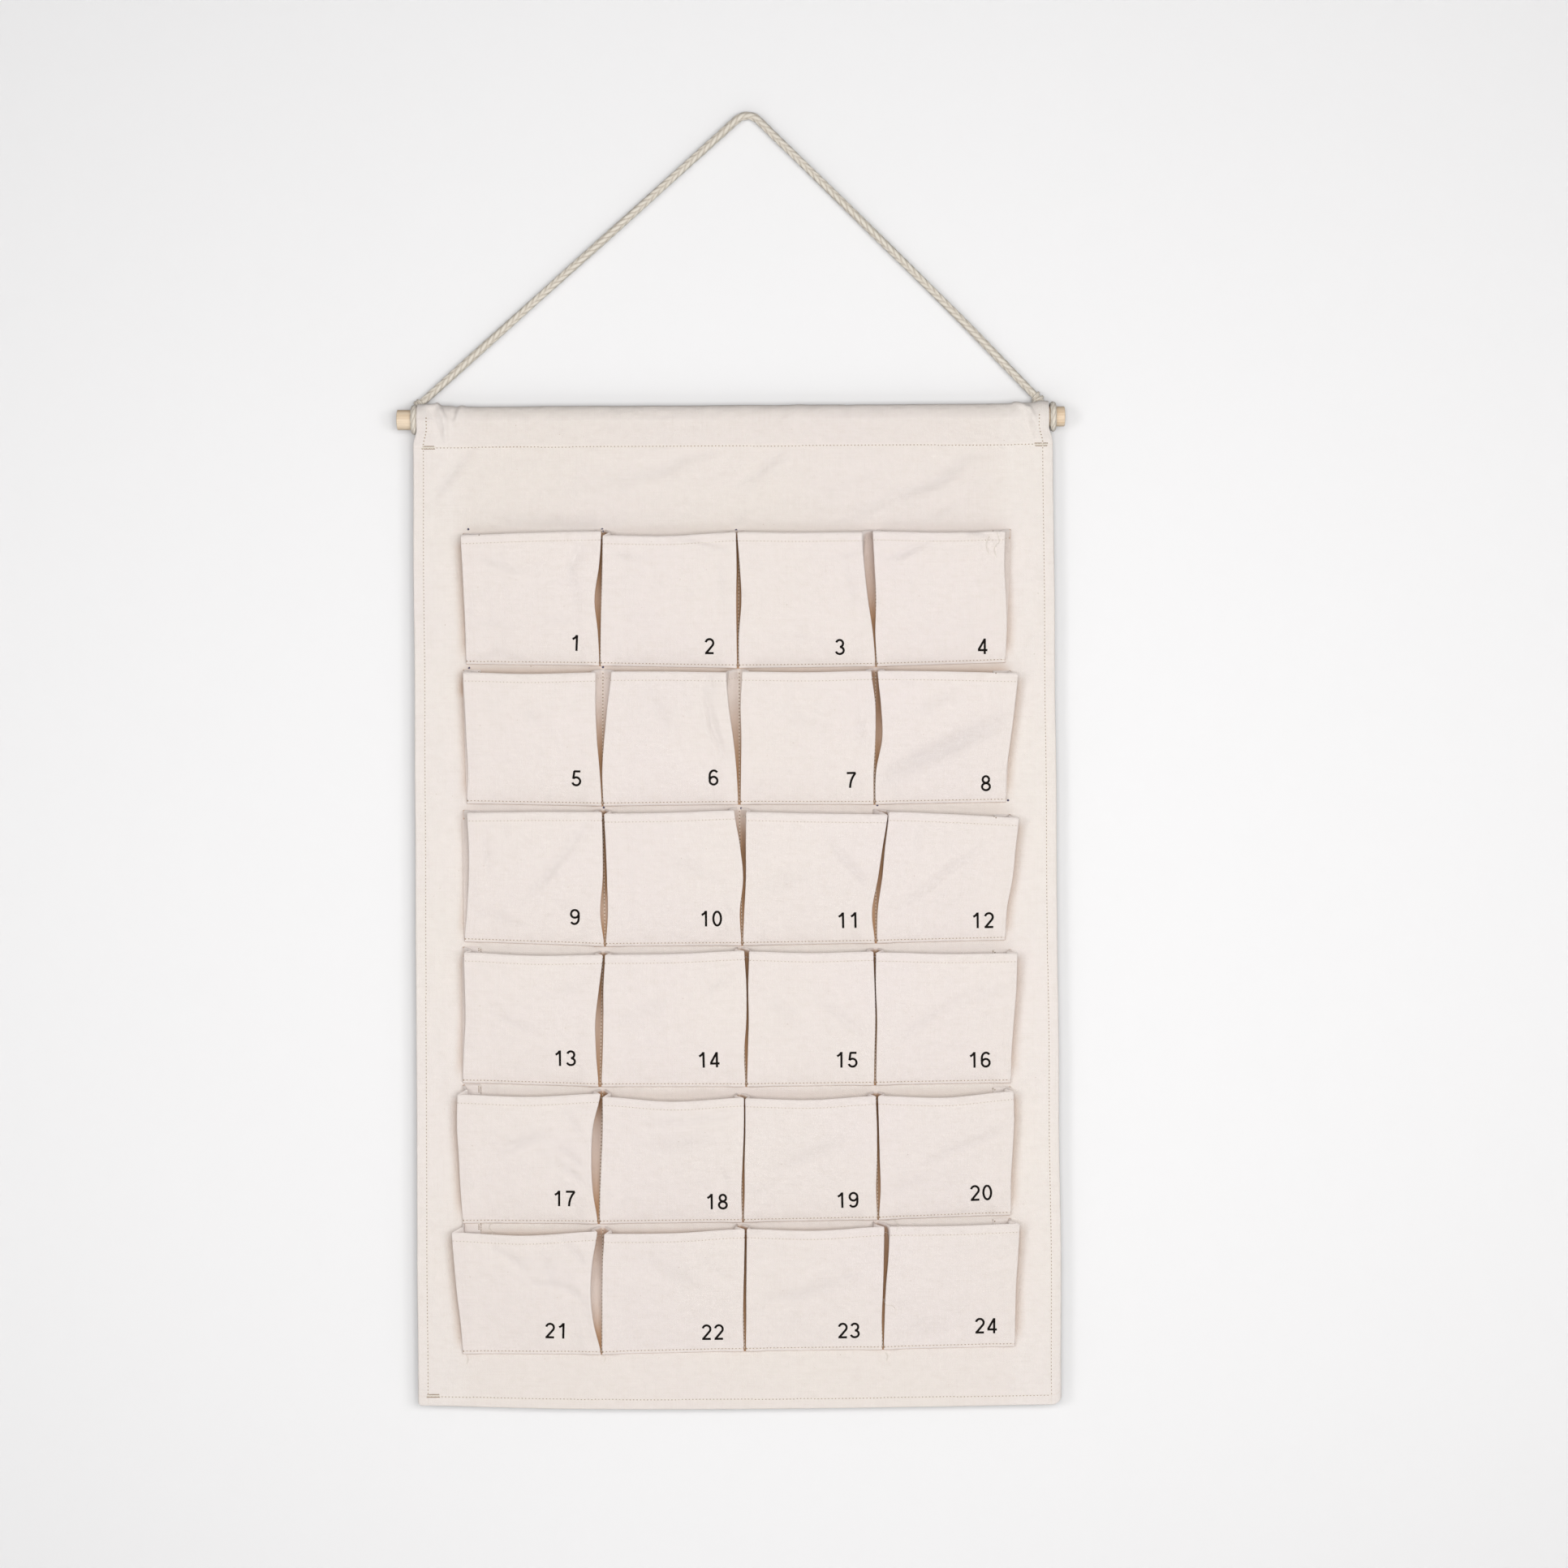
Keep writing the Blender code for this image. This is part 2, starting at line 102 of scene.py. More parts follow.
# Left and right edge of each pocket front in the photograph, at five heights from its
# mouth down to its foot, in pixels
front_edges = (
    ((567, 569, 571, 573, 574), (741, 738.5, 733, 737, 739)),
    ((742, 741.5, 740.5, 739.5, 739.5), (907, 908, 907.5, 908, 908.5)),
    ((908, 911, 913, 910, 910), (1061, 1065, 1070, 1076, 1079)),
    ((1075, 1077, 1079, 1078, 1080), (1239, 1238, 1240, 1241, 1239)),
    ((570, 572, 574, 576, 575), (734, 734, 736, 739.5, 742)),
    ((753, 748, 744, 741.5, 743), (894, 898, 904, 908, 910)),
    ((914, 912, 913, 912.5, 912), (1074, 1079, 1079, 1077, 1077)),
    ((1081, 1085, 1086.5, 1079, 1078), (1255, 1251, 1246, 1241, 1240)),
    ((575, 577, 577, 575, 572), (742, 743, 743, 740, 745)),
    ((744, 746, 747.5, 748.5, 746), (905, 912, 916, 912, 914)),
    ((919, 918.5, 918.5, 916.5, 915), (1094, 1088, 1082, 1075, 1078.5)),
    ((1096, 1090.5, 1086.5, 1081, 1080), (1256, 1252, 1248, 1241, 1239)),
    ((571, 572, 573, 571, 570), (743, 738.5, 734, 735, 738)),
    ((745, 743, 743, 742, 740.5), (917.5, 920, 920, 917.5, 919)),
    ((923, 921.5, 922, 921, 920), (1076.5, 1078, 1079, 1078, 1077.5)),
    ((1079, 1078.7, 1080.2, 1079.5, 1079), (1254, 1253, 1250, 1247, 1246)),
    ((563, 562.5, 565, 567, 570), (740, 731, 729, 731, 737)),
    ((742, 742, 740.5, 739, 738.5), (917, 917, 915.5, 914, 915)),
    ((918, 918, 917, 917, 916), (1079.5, 1081, 1081, 1080, 1081.5)),
    ((1081.5, 1082.5, 1083.5, 1084.5, 1082.5), (1249.5, 1250, 1248, 1246, 1246)),
    ((556, 559, 562.5, 567, 570), (736, 730, 728, 732, 741)),
    ((744, 742, 741.5, 741.5, 741.5), (918, 917.5, 916.5, 916, 917)),
    ((920, 919.5, 919, 919, 918.5), (1090, 1089.5, 1088.5, 1087, 1087.5)),
    ((1097, 1094.5, 1091, 1089.5, 1088.5), (1257, 1255, 1252.5, 1251.5, 1251)),
)

# Height of each mouth's top edge at its left, middle and right, in pixels
mouth_lines = (
    (660, 657, 655), (660, 661, 656), (656, 657, 656), (655, 657, 655),
    (829, 831, 829), (828, 828, 829), (828, 829, 827), (827, 828, 830),
    (1002, 1001, 1001), (1003, 1002, 999), (1001, 1003, 1004), (1001, 1004, 1008),
    (1174, 1178, 1177), (1177, 1176, 1172), (1173, 1175, 1173), (1174, 1176, 1175),
    (1349, 1352, 1348), (1352, 1358, 1353), (1354, 1356, 1351), (1351, 1353, 1345),
    (1519, 1523, 1518), (1521, 1520, 1515), (1515, 1517, 1512), (1512, 1511, 1508),
)

# Height of each row's lower edge at its five seams, in pixels
foot_lines = (
    (818, 820, 823, 821, 816),
    (990, 993, 991, 991, 988),
    (1160, 1166, 1165, 1162, 1158),
    (1334, 1339, 1339, 1337, 1334),
    (1507, 1508, 1506, 1503, 1497),
    (1668, 1669, 1665, 1663, 1659),
)

# Where the five upright seams end at the top of a row, in pixels across
seam_tops = (571, 743, 911, 1079, 1245)

# Middle of each printed number, in pixels
digit_places = (
    (709, 792), (874, 796), (1035, 797), (1211, 796),
    (710, 959), (879, 958), (1049, 961), (1215, 965),
    (708, 1130), (876, 1132), (1045, 1134), (1211, 1134),
    (696, 1304), (873, 1306), (1043, 1306), (1207, 1306),
    (695, 1477), (883, 1481), (1044, 1479), (1209, 1470),
    (685, 1640), (878, 1642), (1046, 1640), (1215, 1634),
)

# How far each number is turned, in degrees
digit_turns = (-3, 0, 1, 0, -2, 0, 1, 1, -1, 0, 1, 1, 0, 1, 0, 1, -1, 0, 1, 2, -2, 0, 0, 0)

# Small pen dots that mark where seams start, in pixels
pen_marks = (
    (577, 652), (742, 652), (743, 655), (907, 653), (578, 823), (743, 822),
    (744, 995), (913, 996), (1081, 992), (1242, 986),
)

# The cord's route from the left knot over the hook to the right knot, in metres
cord_diameter = 0.0058
cord_route = (
    (-0.2448, 0.0, -0.2104),
    (-0.2050, 0.0, -0.1749),
    (-0.1650, 0.0, -0.1394),
    (-0.1250, 0.0, -0.1040),
    (-0.0850, 0.0, -0.0686),
    (-0.0450, 0.0, -0.0329),
    (-0.0200, 0.0, -0.0106),
    (-0.0081, 0.0, 0.0000),
    (-0.0043, 0.0, 0.0022),
    (0.0000, 0.0, 0.0029),
    (0.0043, 0.0, 0.0020),
    (0.0078, 0.0, -0.0003),
    (0.0200, 0.0, -0.0124),
    (0.0450, 0.0, -0.0370),
    (0.0850, 0.0, -0.0766),
    (0.1250, 0.0, -0.1163),
    (0.1650, 0.0, -0.1567),
    (0.2050, 0.0, -0.1985),
    (0.2135, 0.0, -0.2073),
)

# Loops and knots, as the model has them
loop_strand_width = 0.0044
loop_strand_thickness = 0.0034
left_knot_place = (-0.2480, 0.0, -0.2132)
right_knot_place = (0.2165, 0.0, -0.2104)
neck_bend_place = (0.2200, 0.0022, -0.2195)
neck_turn_degrees = 75

# Creases of the long cloth: the pixels that each follows, its half width and height in
# metres, and how far it is a step (1) rather than a ridge (0)
panel_creases = (
    (((916, 596), (936, 585), (955, 567), (982, 542)), 0.0042, -0.0011, 0.5),
    (((754, 594), (818, 585), (845, 569), (873, 562)), 0.0060, -0.0008, 0.6),
    (((1068, 633), (1114, 612), (1155, 599), (1191, 571), (1223, 558)), 0.0070, -0.0011, 0.6),
    (((1066, 646), (1105, 617)), 0.0050, 0.0008, 0.2),
    (((543, 608), (564, 578), (582, 560)), 0.0055, -0.0009, 0.5),
    (((1155, 637), (1182, 621)), 0.0050, -0.0007, 0.4),
    (((912, 648), (916, 628)), 0.0050, -0.0007, 0.3),
    (((620, 640), (700, 646), (760, 640)), 0.0060, -0.0007, 0.2),
    (((650, 560), (700, 556), (760, 566)), 0.0080, 0.0006, 0.6),
    (((1000, 600), (1060, 575), (1110, 560)), 0.0080, 0.0006, 0.6),
)

# How much fuller the creases are made than the heights given for them, how much of that a
# ridge keeps, the full depth of the grey shade painted in a hollow and how low a hollow is that has it
crease_fullness = 2.7
ridge_share = 0.65
crease_shade_tone = 0.36
tone_lift = 0.0045

# The form of one crease: how far it reaches, how steep a step is and what is left at its ends
crease_reach_widths = 3
crease_step_share = 1.6
crease_end_share = 0.4

# Creases of the pocket fronts in the same form, by the pocket's number
front_creases = {
    1: (
        (((593, 691), (611, 696), (641, 706)), 0.0042, -0.0008, 0.5),
        (((714, 660), (709, 685), (700, 699), (709, 738)), 0.0042, -0.0008, 0.3),
        (((575, 763), (600, 770), (630, 774)), 0.0034, -0.0006, 0.5),
        (((664, 764), (709, 767)), 0.0034, -0.0006, 0.5),
        (((580, 817), (611, 806), (641, 817)), 0.0030, -0.0008, 0.4),
    ),
    2: (
        (((750, 684), (770, 686), (793, 689)), 0.0030, -0.0007, 0.6),
        (((841, 665), (880, 673), (898, 681)), 0.0026, -0.0010, 0.6),
        (((886, 692), (891, 742)), 0.0040, -0.0006, 0.3),
    ),
    3: (
        (((1045, 700), (1049, 740)), 0.0038, -0.0007, 0.3),
        (((964, 788), (1009, 790)), 0.0034, -0.0005, 0.4),
        (((1030, 688), (1057, 684)), 0.0030, -0.0006, 0.5),
    ),
    4: (
        (((1096, 690), (1118, 683), (1141, 671)), 0.0036, -0.0013, 0.5),
        (((1191, 658), (1210, 660), (1230, 668)), 0.0024, -0.0007, 0.5),
        (((1180, 700), (1215, 690)), 0.0060, 0.0006, 0.4),
    ),
    5: (
        (((640, 880), (668, 892)), 0.0060, -0.0006, 0.4),
        (((690, 925), (728, 935)), 0.0050, 0.0005, 0.4),
    ),
    6: (
        (((866, 850), (875, 895), (892, 938)), 0.0036, -0.0013, 0.5),
        (((875, 828), (877, 850)), 0.0030, -0.0006, 0.3),
        (((800, 860), (825, 900)), 0.0070, -0.0006, 0.3),
    ),
    7: (
        (((1058, 878), (1059, 910)), 0.0036, -0.0007, 0.3),
        (((960, 880), (1010, 900)), 0.0080, -0.0005, 0.3),
    ),
    8: (
        (((1094, 960), (1140, 935), (1186, 914), (1240, 885)), 0.0078, -0.0016, 0.2),
        (((1135, 877), (1173, 856)), 0.0044, -0.0009, 0.4),
        (((1105, 835), (1120, 842)), 0.0030, -0.0006, 0.4),
    ),
    9: (
        (((596, 1026), (597, 1050), (599, 1075)), 0.0028, -0.0008, 0.4),
        (((652, 1106), (677, 1081), (727, 1018)), 0.0050, -0.0010, 0.6),
        (((579, 1126), (610, 1131), (636, 1142)), 0.0030, -0.0010, 0.5),
        (((681, 1112), (702, 1126)), 0.0030, -0.0006, 0.4),
    ),
    10: (
        (((890, 1120), (908, 1136)), 0.0034, -0.0008, 0.4),
        (((820, 1060), (870, 1085)), 0.0070, -0.0006, 0.4),
    ),
    11: (
        (((1019, 1039), (1044, 1068), (1065, 1093)), 0.0044, -0.0010, 0.5),
        (((940, 1100), (990, 1085)), 0.0070, -0.0006, 0.4),
    ),
    12: (
        (((1115, 1118), (1173, 1072), (1206, 1051)), 0.0038, -0.0011, 0.5),
        (((1131, 1018), (1127, 1052)), 0.0036, -0.0006, 0.3),
    ),
    13: (
        (((606, 1252), (632, 1265), (660, 1276)), 0.0034, -0.0008, 0.5),
        (((680, 1230), (724, 1215)), 0.0060, -0.0005, 0.4),
    ),
    14: (
        (((873, 1225), (902, 1206)), 0.0044, -0.0008, 0.4),
        (((770, 1260), (820, 1240)), 0.0070, -0.0006, 0.4),
    ),
    15: (
        (((1005, 1236), (1030, 1252), (1058, 1279)), 0.0040, -0.0009, 0.5),
        (((940, 1230), (975, 1262)), 0.0070, -0.0005, 0.4),
    ),
    16: (
        (((1119, 1281), (1150, 1255), (1183, 1236)), 0.0044, -0.0010, 0.5),
        (((1185, 1234), (1240, 1222)), 0.0060, -0.0005, 0.4),
    ),
    17: (
        (((619, 1423), (648, 1408), (675, 1400)), 0.0044, -0.0010, 0.4),
        (((677, 1410), (698, 1424), (720, 1440)), 0.0030, -0.0010, 0.5),
        (((683, 1437), (704, 1450), (724, 1466)), 0.0028, -0.0009, 0.5),
        (((696, 1373), (716, 1402)), 0.0034, -0.0008, 0.4),
    ),
    18: (
        (((798, 1389), (850, 1385), (902, 1378)), 0.0032, -0.0007, 0.5),
        (((800, 1420), (870, 1412)), 0.0070, -0.0006, 0.3),
        (((882, 1440), (898, 1462)), 0.0034, -0.0006, 0.4),
    ),
    19: (
        (((962, 1442), (995, 1430), (1030, 1414)), 0.0060, -0.0009, 0.4),
        (((930, 1480), (960, 1455)), 0.0040, -0.0006, 0.4),
    ),
    20: (
        (((1148, 1434), (1198, 1412), (1246, 1391)), 0.0046, -0.0010, 0.5),
        (((1110, 1470), (1140, 1455)), 0.0050, -0.0006, 0.4),
    ),
    21: (
        (((608, 1540), (628, 1550), (645, 1564)), 0.0034, -0.0009, 0.4),
        (((694, 1533), (710, 1548), (722, 1570)), 0.0036, -0.0010, 0.5),
        (((660, 1582), (694, 1588), (716, 1602), (727, 1655)), 0.0036, -0.0009, 0.4),
        (((668, 1545), (676, 1575)), 0.0050, -0.0007, 0.3),
    ),
    22: (
        (((800, 1560), (850, 1590)), 0.0080, -0.0006, 0.4),
        (((870, 1560), (905, 1582)), 0.0050, -0.0006, 0.4),
    ),
    23: (
        (((948, 1604), (990, 1600), (1048, 1582)), 0.0060, -0.0010, 0.4),
        (((1068, 1602), (1086, 1598)), 0.0026, 0.0006, 0.4),
    ),
    24: (
        (((1093, 1600), (1105, 1612), (1118, 1614)), 0.0026, -0.0007, 0.4),
        (((1120, 1650), (1170, 1640)), 0.0070, -0.0006, 0.4),
    ),
}


# Small sums

seed_step = 7.31

def mix(a, b, share):
    """The value between a and b, for numbers and vectors."""
    return a + (b - a) * share


def smooth(share):
    """A share from 0 to 1 that starts and ends gently."""
    share = min(1.0, max(0.0, share))
    return share * share * (3 - 2 * share)


def bump_at(value, centre, width):
    """A soft hill, 1 at its centre and near 0 beyond twice its width."""
    return math.exp(-((value - centre) / width) ** 2)


def through(values, share):
    """Read evenly spaced values at a share of the way, on a smooth curve through them."""
    place = min(1.0, max(0.0, share)) * (len(values) - 1)
    i = min(int(place), len(values) - 2)
    t = place - i
    before = values[max(i - 1, 0)]
    here, there = values[i], values[i + 1]
    after = values[min(i + 2, len(values) - 1)]
    bend = (2 * before - 5 * here + 4 * there - after) * t * t
    twist = (3 * here - before - 3 * there + after) * t**3
    return (2 * here + (there - before) * t + bend + twist) / 2


def rough(x, z, size, seed):
    """Smooth noise from -1 to 1, over places a given size apart."""
    return noise.noise(Vector((x / size, z / size, seed * seed_step)))


def crease_places(creases, y):
    """Creases given in pixels, carried to places in X and Z on the cloth."""
    placed = []
    for pixels, width, height, lean in creases:
        spots = [from_photo(*pixel, y) for pixel in pixels]
        placed.append(([Vector((spot.x, spot.z)) for spot in spots], width, height, lean))
    return placed


def crease_lift(x, z, creases):
    """How far ridges, grooves and steps lift the cloth at a place, in metres."""
    total = 0.0
    spot = Vector((x, z))
    for line, width, height, lean in creases:
        nearest, along = None, 0.0
        for i in range(len(line) - 1):
            way, off = line[i + 1] - line[i], spot - line[i]
            share = min(1.0, max(0.0, off.dot(way) / way.length_squared))
            away = off - way * share
            distance = away.length * (1 if way.cross(off) > 0 else -1) / width
            if nearest is None or abs(distance) < abs(nearest):
                nearest, along = distance, (i + share) / (len(line) - 1)
        if abs(nearest) < crease_reach_widths:
            profile = 1 - lean + lean * crease_step_share * nearest
            profile *= math.exp(-nearest * nearest)
            full = mix(crease_end_share, 1, math.sin(math.pi * along))
            total += height * crease_fullness * profile * full
    return total if total < 0 else total * ridge_share


def hollow_tone(lift):
    """The grey shade painted, counted below zero, in a crease that lies lower than the cloth round it."""
    return -crease_shade_tone * min(1.0, max(0.0, -lift / tone_lift))


def from_photo(pixel_x, pixel_y, y):
    """The place in the model, at depth y, that a pixel of the photograph shows."""
    right = (pixel_x - photo_middle) * pixel_size
    up = (photo_middle - pixel_y) * pixel_size
    turned_right = right * math.cos(photo_turn) + up * math.sin(photo_turn)
    turned_up = up * math.cos(photo_turn) - right * math.sin(photo_turn)
    nearness = (y - camera_y) / camera_distance
    return Vector((camera_x + turned_right * nearness, y, camera_z + turned_up * nearness))


# Materials

class Finish:
    """One material's nodes, added and linked with short calls."""

    def __init__(self, name):
        self.material = bpy.data.materials.new(name)
        self.material.use_nodes = True
        self.nodes = self.material.node_tree.nodes
        self.links = self.material.node_tree.links
        self.shader = self.nodes["Principled BSDF"]

    def put(self, socket, value):
        """Give a socket another node's output, or a plain number or colour."""
        if isinstance(value, bpy.types.NodeSocket):
            self.links.new(value, socket)
        else:
            socket.default_value = value

    def node(self, kind, inputs=(), **settings):
        """Add a node, with its settings and then its inputs by name or number."""
        node = self.nodes.new(kind)
        for key, value in settings.items():
            setattr(node, key, value)
        for key, value in dict(inputs).items():
            self.put(node.inputs[key], value)
        return node

    def sum(self, operation, a, b=0.0, clamp=False):
        """The output of one math node."""
        node = self.node("ShaderNodeMath", {0: a, 1: b}, operation=operation, use_clamp=clamp)
        return node.outputs[0]

    def spread(self, value, low, high, to_low, to_high):
        """Carry a value from one range to another, held at the ends."""
        inputs = {"Value": value, "From Min": low, "From Max": high}
        inputs.update({"To Min": to_low, "To Max": to_high})
        return self.node("ShaderNodeMapRange", inputs).outputs["Result"]

    def blend(self, share, a, b, kind="MIX"):
        """Two colours mixed, multiplied or otherwise joined."""
        node = self.node("ShaderNodeMix", data_type="RGBA", blend_type=kind)
        self.put(node.inputs["Factor"], share)
        self.put(node.inputs["A"], a)
        self.put(node.inputs["B"], b)
        return node.outputs["Result"]

    def cloud(self, place, scale, detail=2.0, stretch=(1, 1, 1), seed=0.0):
        """Noise from 0 to 1, stretched along the axes, with its spots 1 / scale apart."""
        inputs = {"Vector": place, "Scale": stretch, "Location": (seed, seed, seed)}
        moved = self.node("ShaderNodeMapping", inputs).outputs[0]
        inputs = {"Vector": moved, "Scale": scale, "Detail": detail}
        return self.node("ShaderNodeTexNoise", inputs).outputs["Fac"]

    def relief(self, height, depth, under=None):
        """Turn a height into a bump, on top of another bump if there is one."""
        inputs = {"Height": height, "Distance": depth, "Strength": 1.0}
        if under is not None:
            inputs["Normal"] = under
        return self.node("ShaderNodeBump", inputs).outputs[0]

    def finish(self, colour, roughness, normal=None, **fixed):
        """Link the shader and set the values that are the same all over."""
        self.put(self.shader.inputs["Base Color"], colour)
        self.put(self.shader.inputs["Roughness"], roughness)
        if normal is not None:
            self.put(self.shader.inputs["Normal"], normal)
        for key, value in fixed.items():
            self.shader.inputs[key.replace("_", " ")].default_value = value
        return self.material


# Colours
canvas_pink = (0.854, 0.786, 0.764, 1.0)
canvas_cream = (0.856, 0.797, 0.750, 1.0)
# The thick threads' own darker tone, also used for shade painted in the weave's low places
canvas_slub_and_groove_shade = (0.770, 0.695, 0.640, 1.0)
canvas_speck = (0.420, 0.310, 0.210, 1.0)
# Painted shade: brown that darkens the canvas in folds, valleys, mouths, beside the pockets and over the
# fronts
fold_shade_brown = (0.550, 0.340, 0.190, 1.0)
# Painted shade: grey that darkens the canvas in the hollows of creases
crease_shade_grey = (0.660, 0.670, 0.700, 1.0)
thread_shade = (0.70, 0.64, 0.55, 1.0)
thread_pale = (0.90, 0.86, 0.79, 1.0)
# Painted shade: the dark inside of the needle holes
hole_shade = (0.22, 0.15, 0.10, 1.0)
hole_pale = (0.40, 0.30, 0.21, 1.0)
ink_black = (0.007, 0.005, 0.004, 1.0)
ink_worn = (0.05, 0.04, 0.035, 1.0)
pen_violet = (0.030, 0.022, 0.060, 1.0)
pen_pale = (0.10, 0.085, 0.15, 1.0)
cord_cream = (0.800, 0.745, 0.650, 1.0)
cord_pale = (0.825, 0.785, 0.700, 1.0)
cord_fibre = (0.55, 0.47, 0.38, 1.0)
# Painted shade: the dark between the cord's strands
cord_crevice_shade = (0.38, 0.31, 0.24, 1.0)
wood_pale = (0.815, 0.675, 0.510, 1.0)
wood_band = (0.765, 0.600, 0.425, 1.0)
wood_grain = (0.55, 0.37, 0.21, 1.0)
wood_pore = (0.38, 0.24, 0.13, 1.0)
wood_end = (0.50, 0.33, 0.18, 1.0)

# The canvas's weave, and how deep each finish's relief is, in metres
thread_pitch = 0.00058
thread_wander = 0.0003
weave_relief = 0.00035
soft_relief = 0.0018
thread_relief = 0.0001
print_relief = 0.0001
cord_relief = 0.0002
wood_relief = 0.00012
patch_spread = 0.3
strip_cream_share = 0.30
panel_cream_share = 0.75


def weave_height(finish, place, pitch):
    """Plain weave: threads that pass over and under each other in turn."""
    apart = finish.node("ShaderNodeSeparateXYZ", {0: place})
    waves = []
    for axis in (0, 1):
        turn = finish.sum("MULTIPLY", apart.outputs[axis], math.pi / pitch)
        waves.append(finish.sum("SINE", turn))
    crossing = finish.sum("MULTIPLY", waves[0], waves[1])
    return finish.spread(crossing, -1.0, 1.0, 0.0, 1.0)


def canvas_material(name, cream_share, middle_shade_share, half_width=0.0):
    """Cream cotton canvas with thick and thin threads and seed specks, with painted shade: brown in
    folds, grey in crease hollows and darker in the weave's low places.

    The middle shade share is painted shade too, a deeper tone all over, apart from the side margins where
    the cloth's half width is given.
    """
    finish = Finish(name)
    place = finish.node("ShaderNodeUVMap", uv_map="cloth").outputs[0]
    drift = finish.cloud(place, 260, 2.0)
    shift = finish.spread(drift, 0.3, 0.7, -thread_wander, thread_wander)
    moved = finish.node("ShaderNodeVectorMath", {0: place, 1: shift}, operation="ADD").outputs[0]
    weave = weave_height(finish, moved, thread_pitch)
    weft = finish.cloud(place, 1.0, 2.0, stretch=(38, 1500, 1), seed=3.0)
    warp = finish.cloud(place, 1.0, 2.0, stretch=(1500, 30, 1), seed=9.0)
    slubs = finish.sum("MULTIPLY", finish.sum("ADD", weft, warp), 0.5)
    height = finish.sum("ADD", finish.sum("MULTIPLY", weave, 0.6), slubs)
    fibre = finish.relief(height, weave_relief)
    soft = finish.cloud(place, 60, 4.0, seed=21.0)
    normal = finish.relief(soft, soft_relief, under=fibre)

    patches = finish.cloud(place, 7.0, 3.0, seed=1.0)
    cream = (cream_share - patch_spread, cream_share + patch_spread)
    tone = finish.blend(finish.spread(patches, 0.35, 0.65, *cream), canvas_pink, canvas_cream)
    marks = finish.cloud(place, 150, 3.0, stretch=(0.8, 1.2, 1), seed=17.0)
    tone = finish.blend(finish.spread(marks, 0.50, 0.70, 0.0, 0.22), tone, canvas_slub_and_groove_shade)
    streaks = finish.spread(slubs, 0.52, 0.74, 0.0, 0.60)
    tone = finish.blend(streaks, tone, canvas_slub_and_groove_shade)
    # Painted shade: the weave's low places are darkened
    grooves = finish.spread(weave, 0.0, 0.45, 0.16, 0.0)
    tone = finish.blend(grooves, tone, canvas_slub_and_groove_shade)
    specks = finish.cloud(place, 420, 1.0, seed=31.0)
    tone = finish.blend(finish.spread(specks, 0.78, 0.82, 0.0, 0.55), tone, canvas_speck)
    # Painted shade from the fold_shade attribute: brown where it is above zero, grey in crease hollows
    # where it is below zero
    folds = finish.node("ShaderNodeAttribute", attribute_name="fold_shade").outputs["Fac"]
    if half_width:
        across = finish.node("ShaderNodeSeparateXYZ", {0: place}).outputs[0]
        off_middle = finish.sum("ABSOLUTE", finish.sum("SUBTRACT", across, half_width))
        ends = (half_width - side_hem - margin_end, half_width - side_hem - margin_start)
        middle_shade_share = finish.spread(off_middle, *ends, middle_shade_share, 0.0)
    # The middle shade share adds painted brown shade over the whole strip, or over the panel away from
    # its side margins
    brown = finish.sum("ADD", finish.sum("MAXIMUM", folds, 0.0), middle_shade_share, clamp=True)
    tone = finish.blend(brown, tone, finish.blend(1.0, tone, fold_shade_brown, "MULTIPLY"))
    hollows = finish.sum("MULTIPLY", folds, -1.0, clamp=True)
    tone = finish.blend(hollows, tone, finish.blend(1.0, tone, crease_shade_grey, "MULTIPLY"))
    rough_share = finish.spread(slubs, 0.3, 0.7, 0.95, 0.86)
    return finish.finish(tone, rough_share, normal, Sheen_Weight=0.08, Sheen_Roughness=0.6)


def grained(name, scale, detail=1.0):
    """A new finish and its fine noise, with spots 1 / scale apart."""
    finish = Finish(name)
    place = finish.node("ShaderNodeTexCoord").outputs["Object"]
    return finish, finish.cloud(place, scale, detail)


def thread_material():
    """Off-white twisted sewing thread."""
    finish, twist = grained("sewing_thread", 3200)
    tone = finish.blend(twist, thread_shade, thread_pale)
    return finish.finish(tone, 0.62, finish.relief(twist, thread_relief), Sheen_Weight=0.15)


def hole_material():
    """Painted shade: the dark puncture that a needle leaves round its thread."""
    finish, grain = grained("needle_hole", 1800)
    return finish.finish(finish.blend(grain, hole_shade, hole_pale), 0.95)


def print_material():
    """Black print that has sunk into the weave and is a little worn."""
    finish, grain = grained("number_print", 2600, 2.0)
    tone = finish.blend(finish.spread(grain, 0.60, 0.80, 0.0, 0.7), ink_black, ink_worn)
    return finish.finish(tone, 0.95, finish.relief(grain, print_relief), Specular_IOR_Level=0.12)


def pen_material():
    """The dull violet of a marking pen."""
    finish, grain = grained("pen_mark", 2200)
    return finish.finish(finish.blend(grain, pen_violet, pen_pale), 0.8)


def cord_material():
    """Soft off-white cotton braid with fine fibres, and shade painted between its strands."""
    finish = Finish("cotton_braid")
    place = finish.node("ShaderNodeUVMap", uv_map="cloth").outputs[0]
    hollow = finish.node("ShaderNodeAttribute", attribute_name="fold_shade").outputs["Fac"]
    fibres = finish.cloud(place, 1.0, 2.0, stretch=(900, 5200, 1), seed=2.0)
    patches = finish.cloud(place, 42, 3.0, seed=4.0)
    tone = finish.blend(patches, cord_cream, cord_pale)
    tone = finish.blend(finish.spread(fibres, 0.35, 0.72, 0.30, 0.0), tone, cord_fibre)
    # Painted shade between the strands, from the fold_shade attribute
    tone = finish.blend(finish.sum("MULTIPLY", hollow, 0.75), tone, cord_crevice_shade)
    fuzz = finish.relief(fibres, cord_relief)
    return finish.finish(tone, 0.93, fuzz, Sheen_Weight=0.22, Sheen_Roughness=0.5)


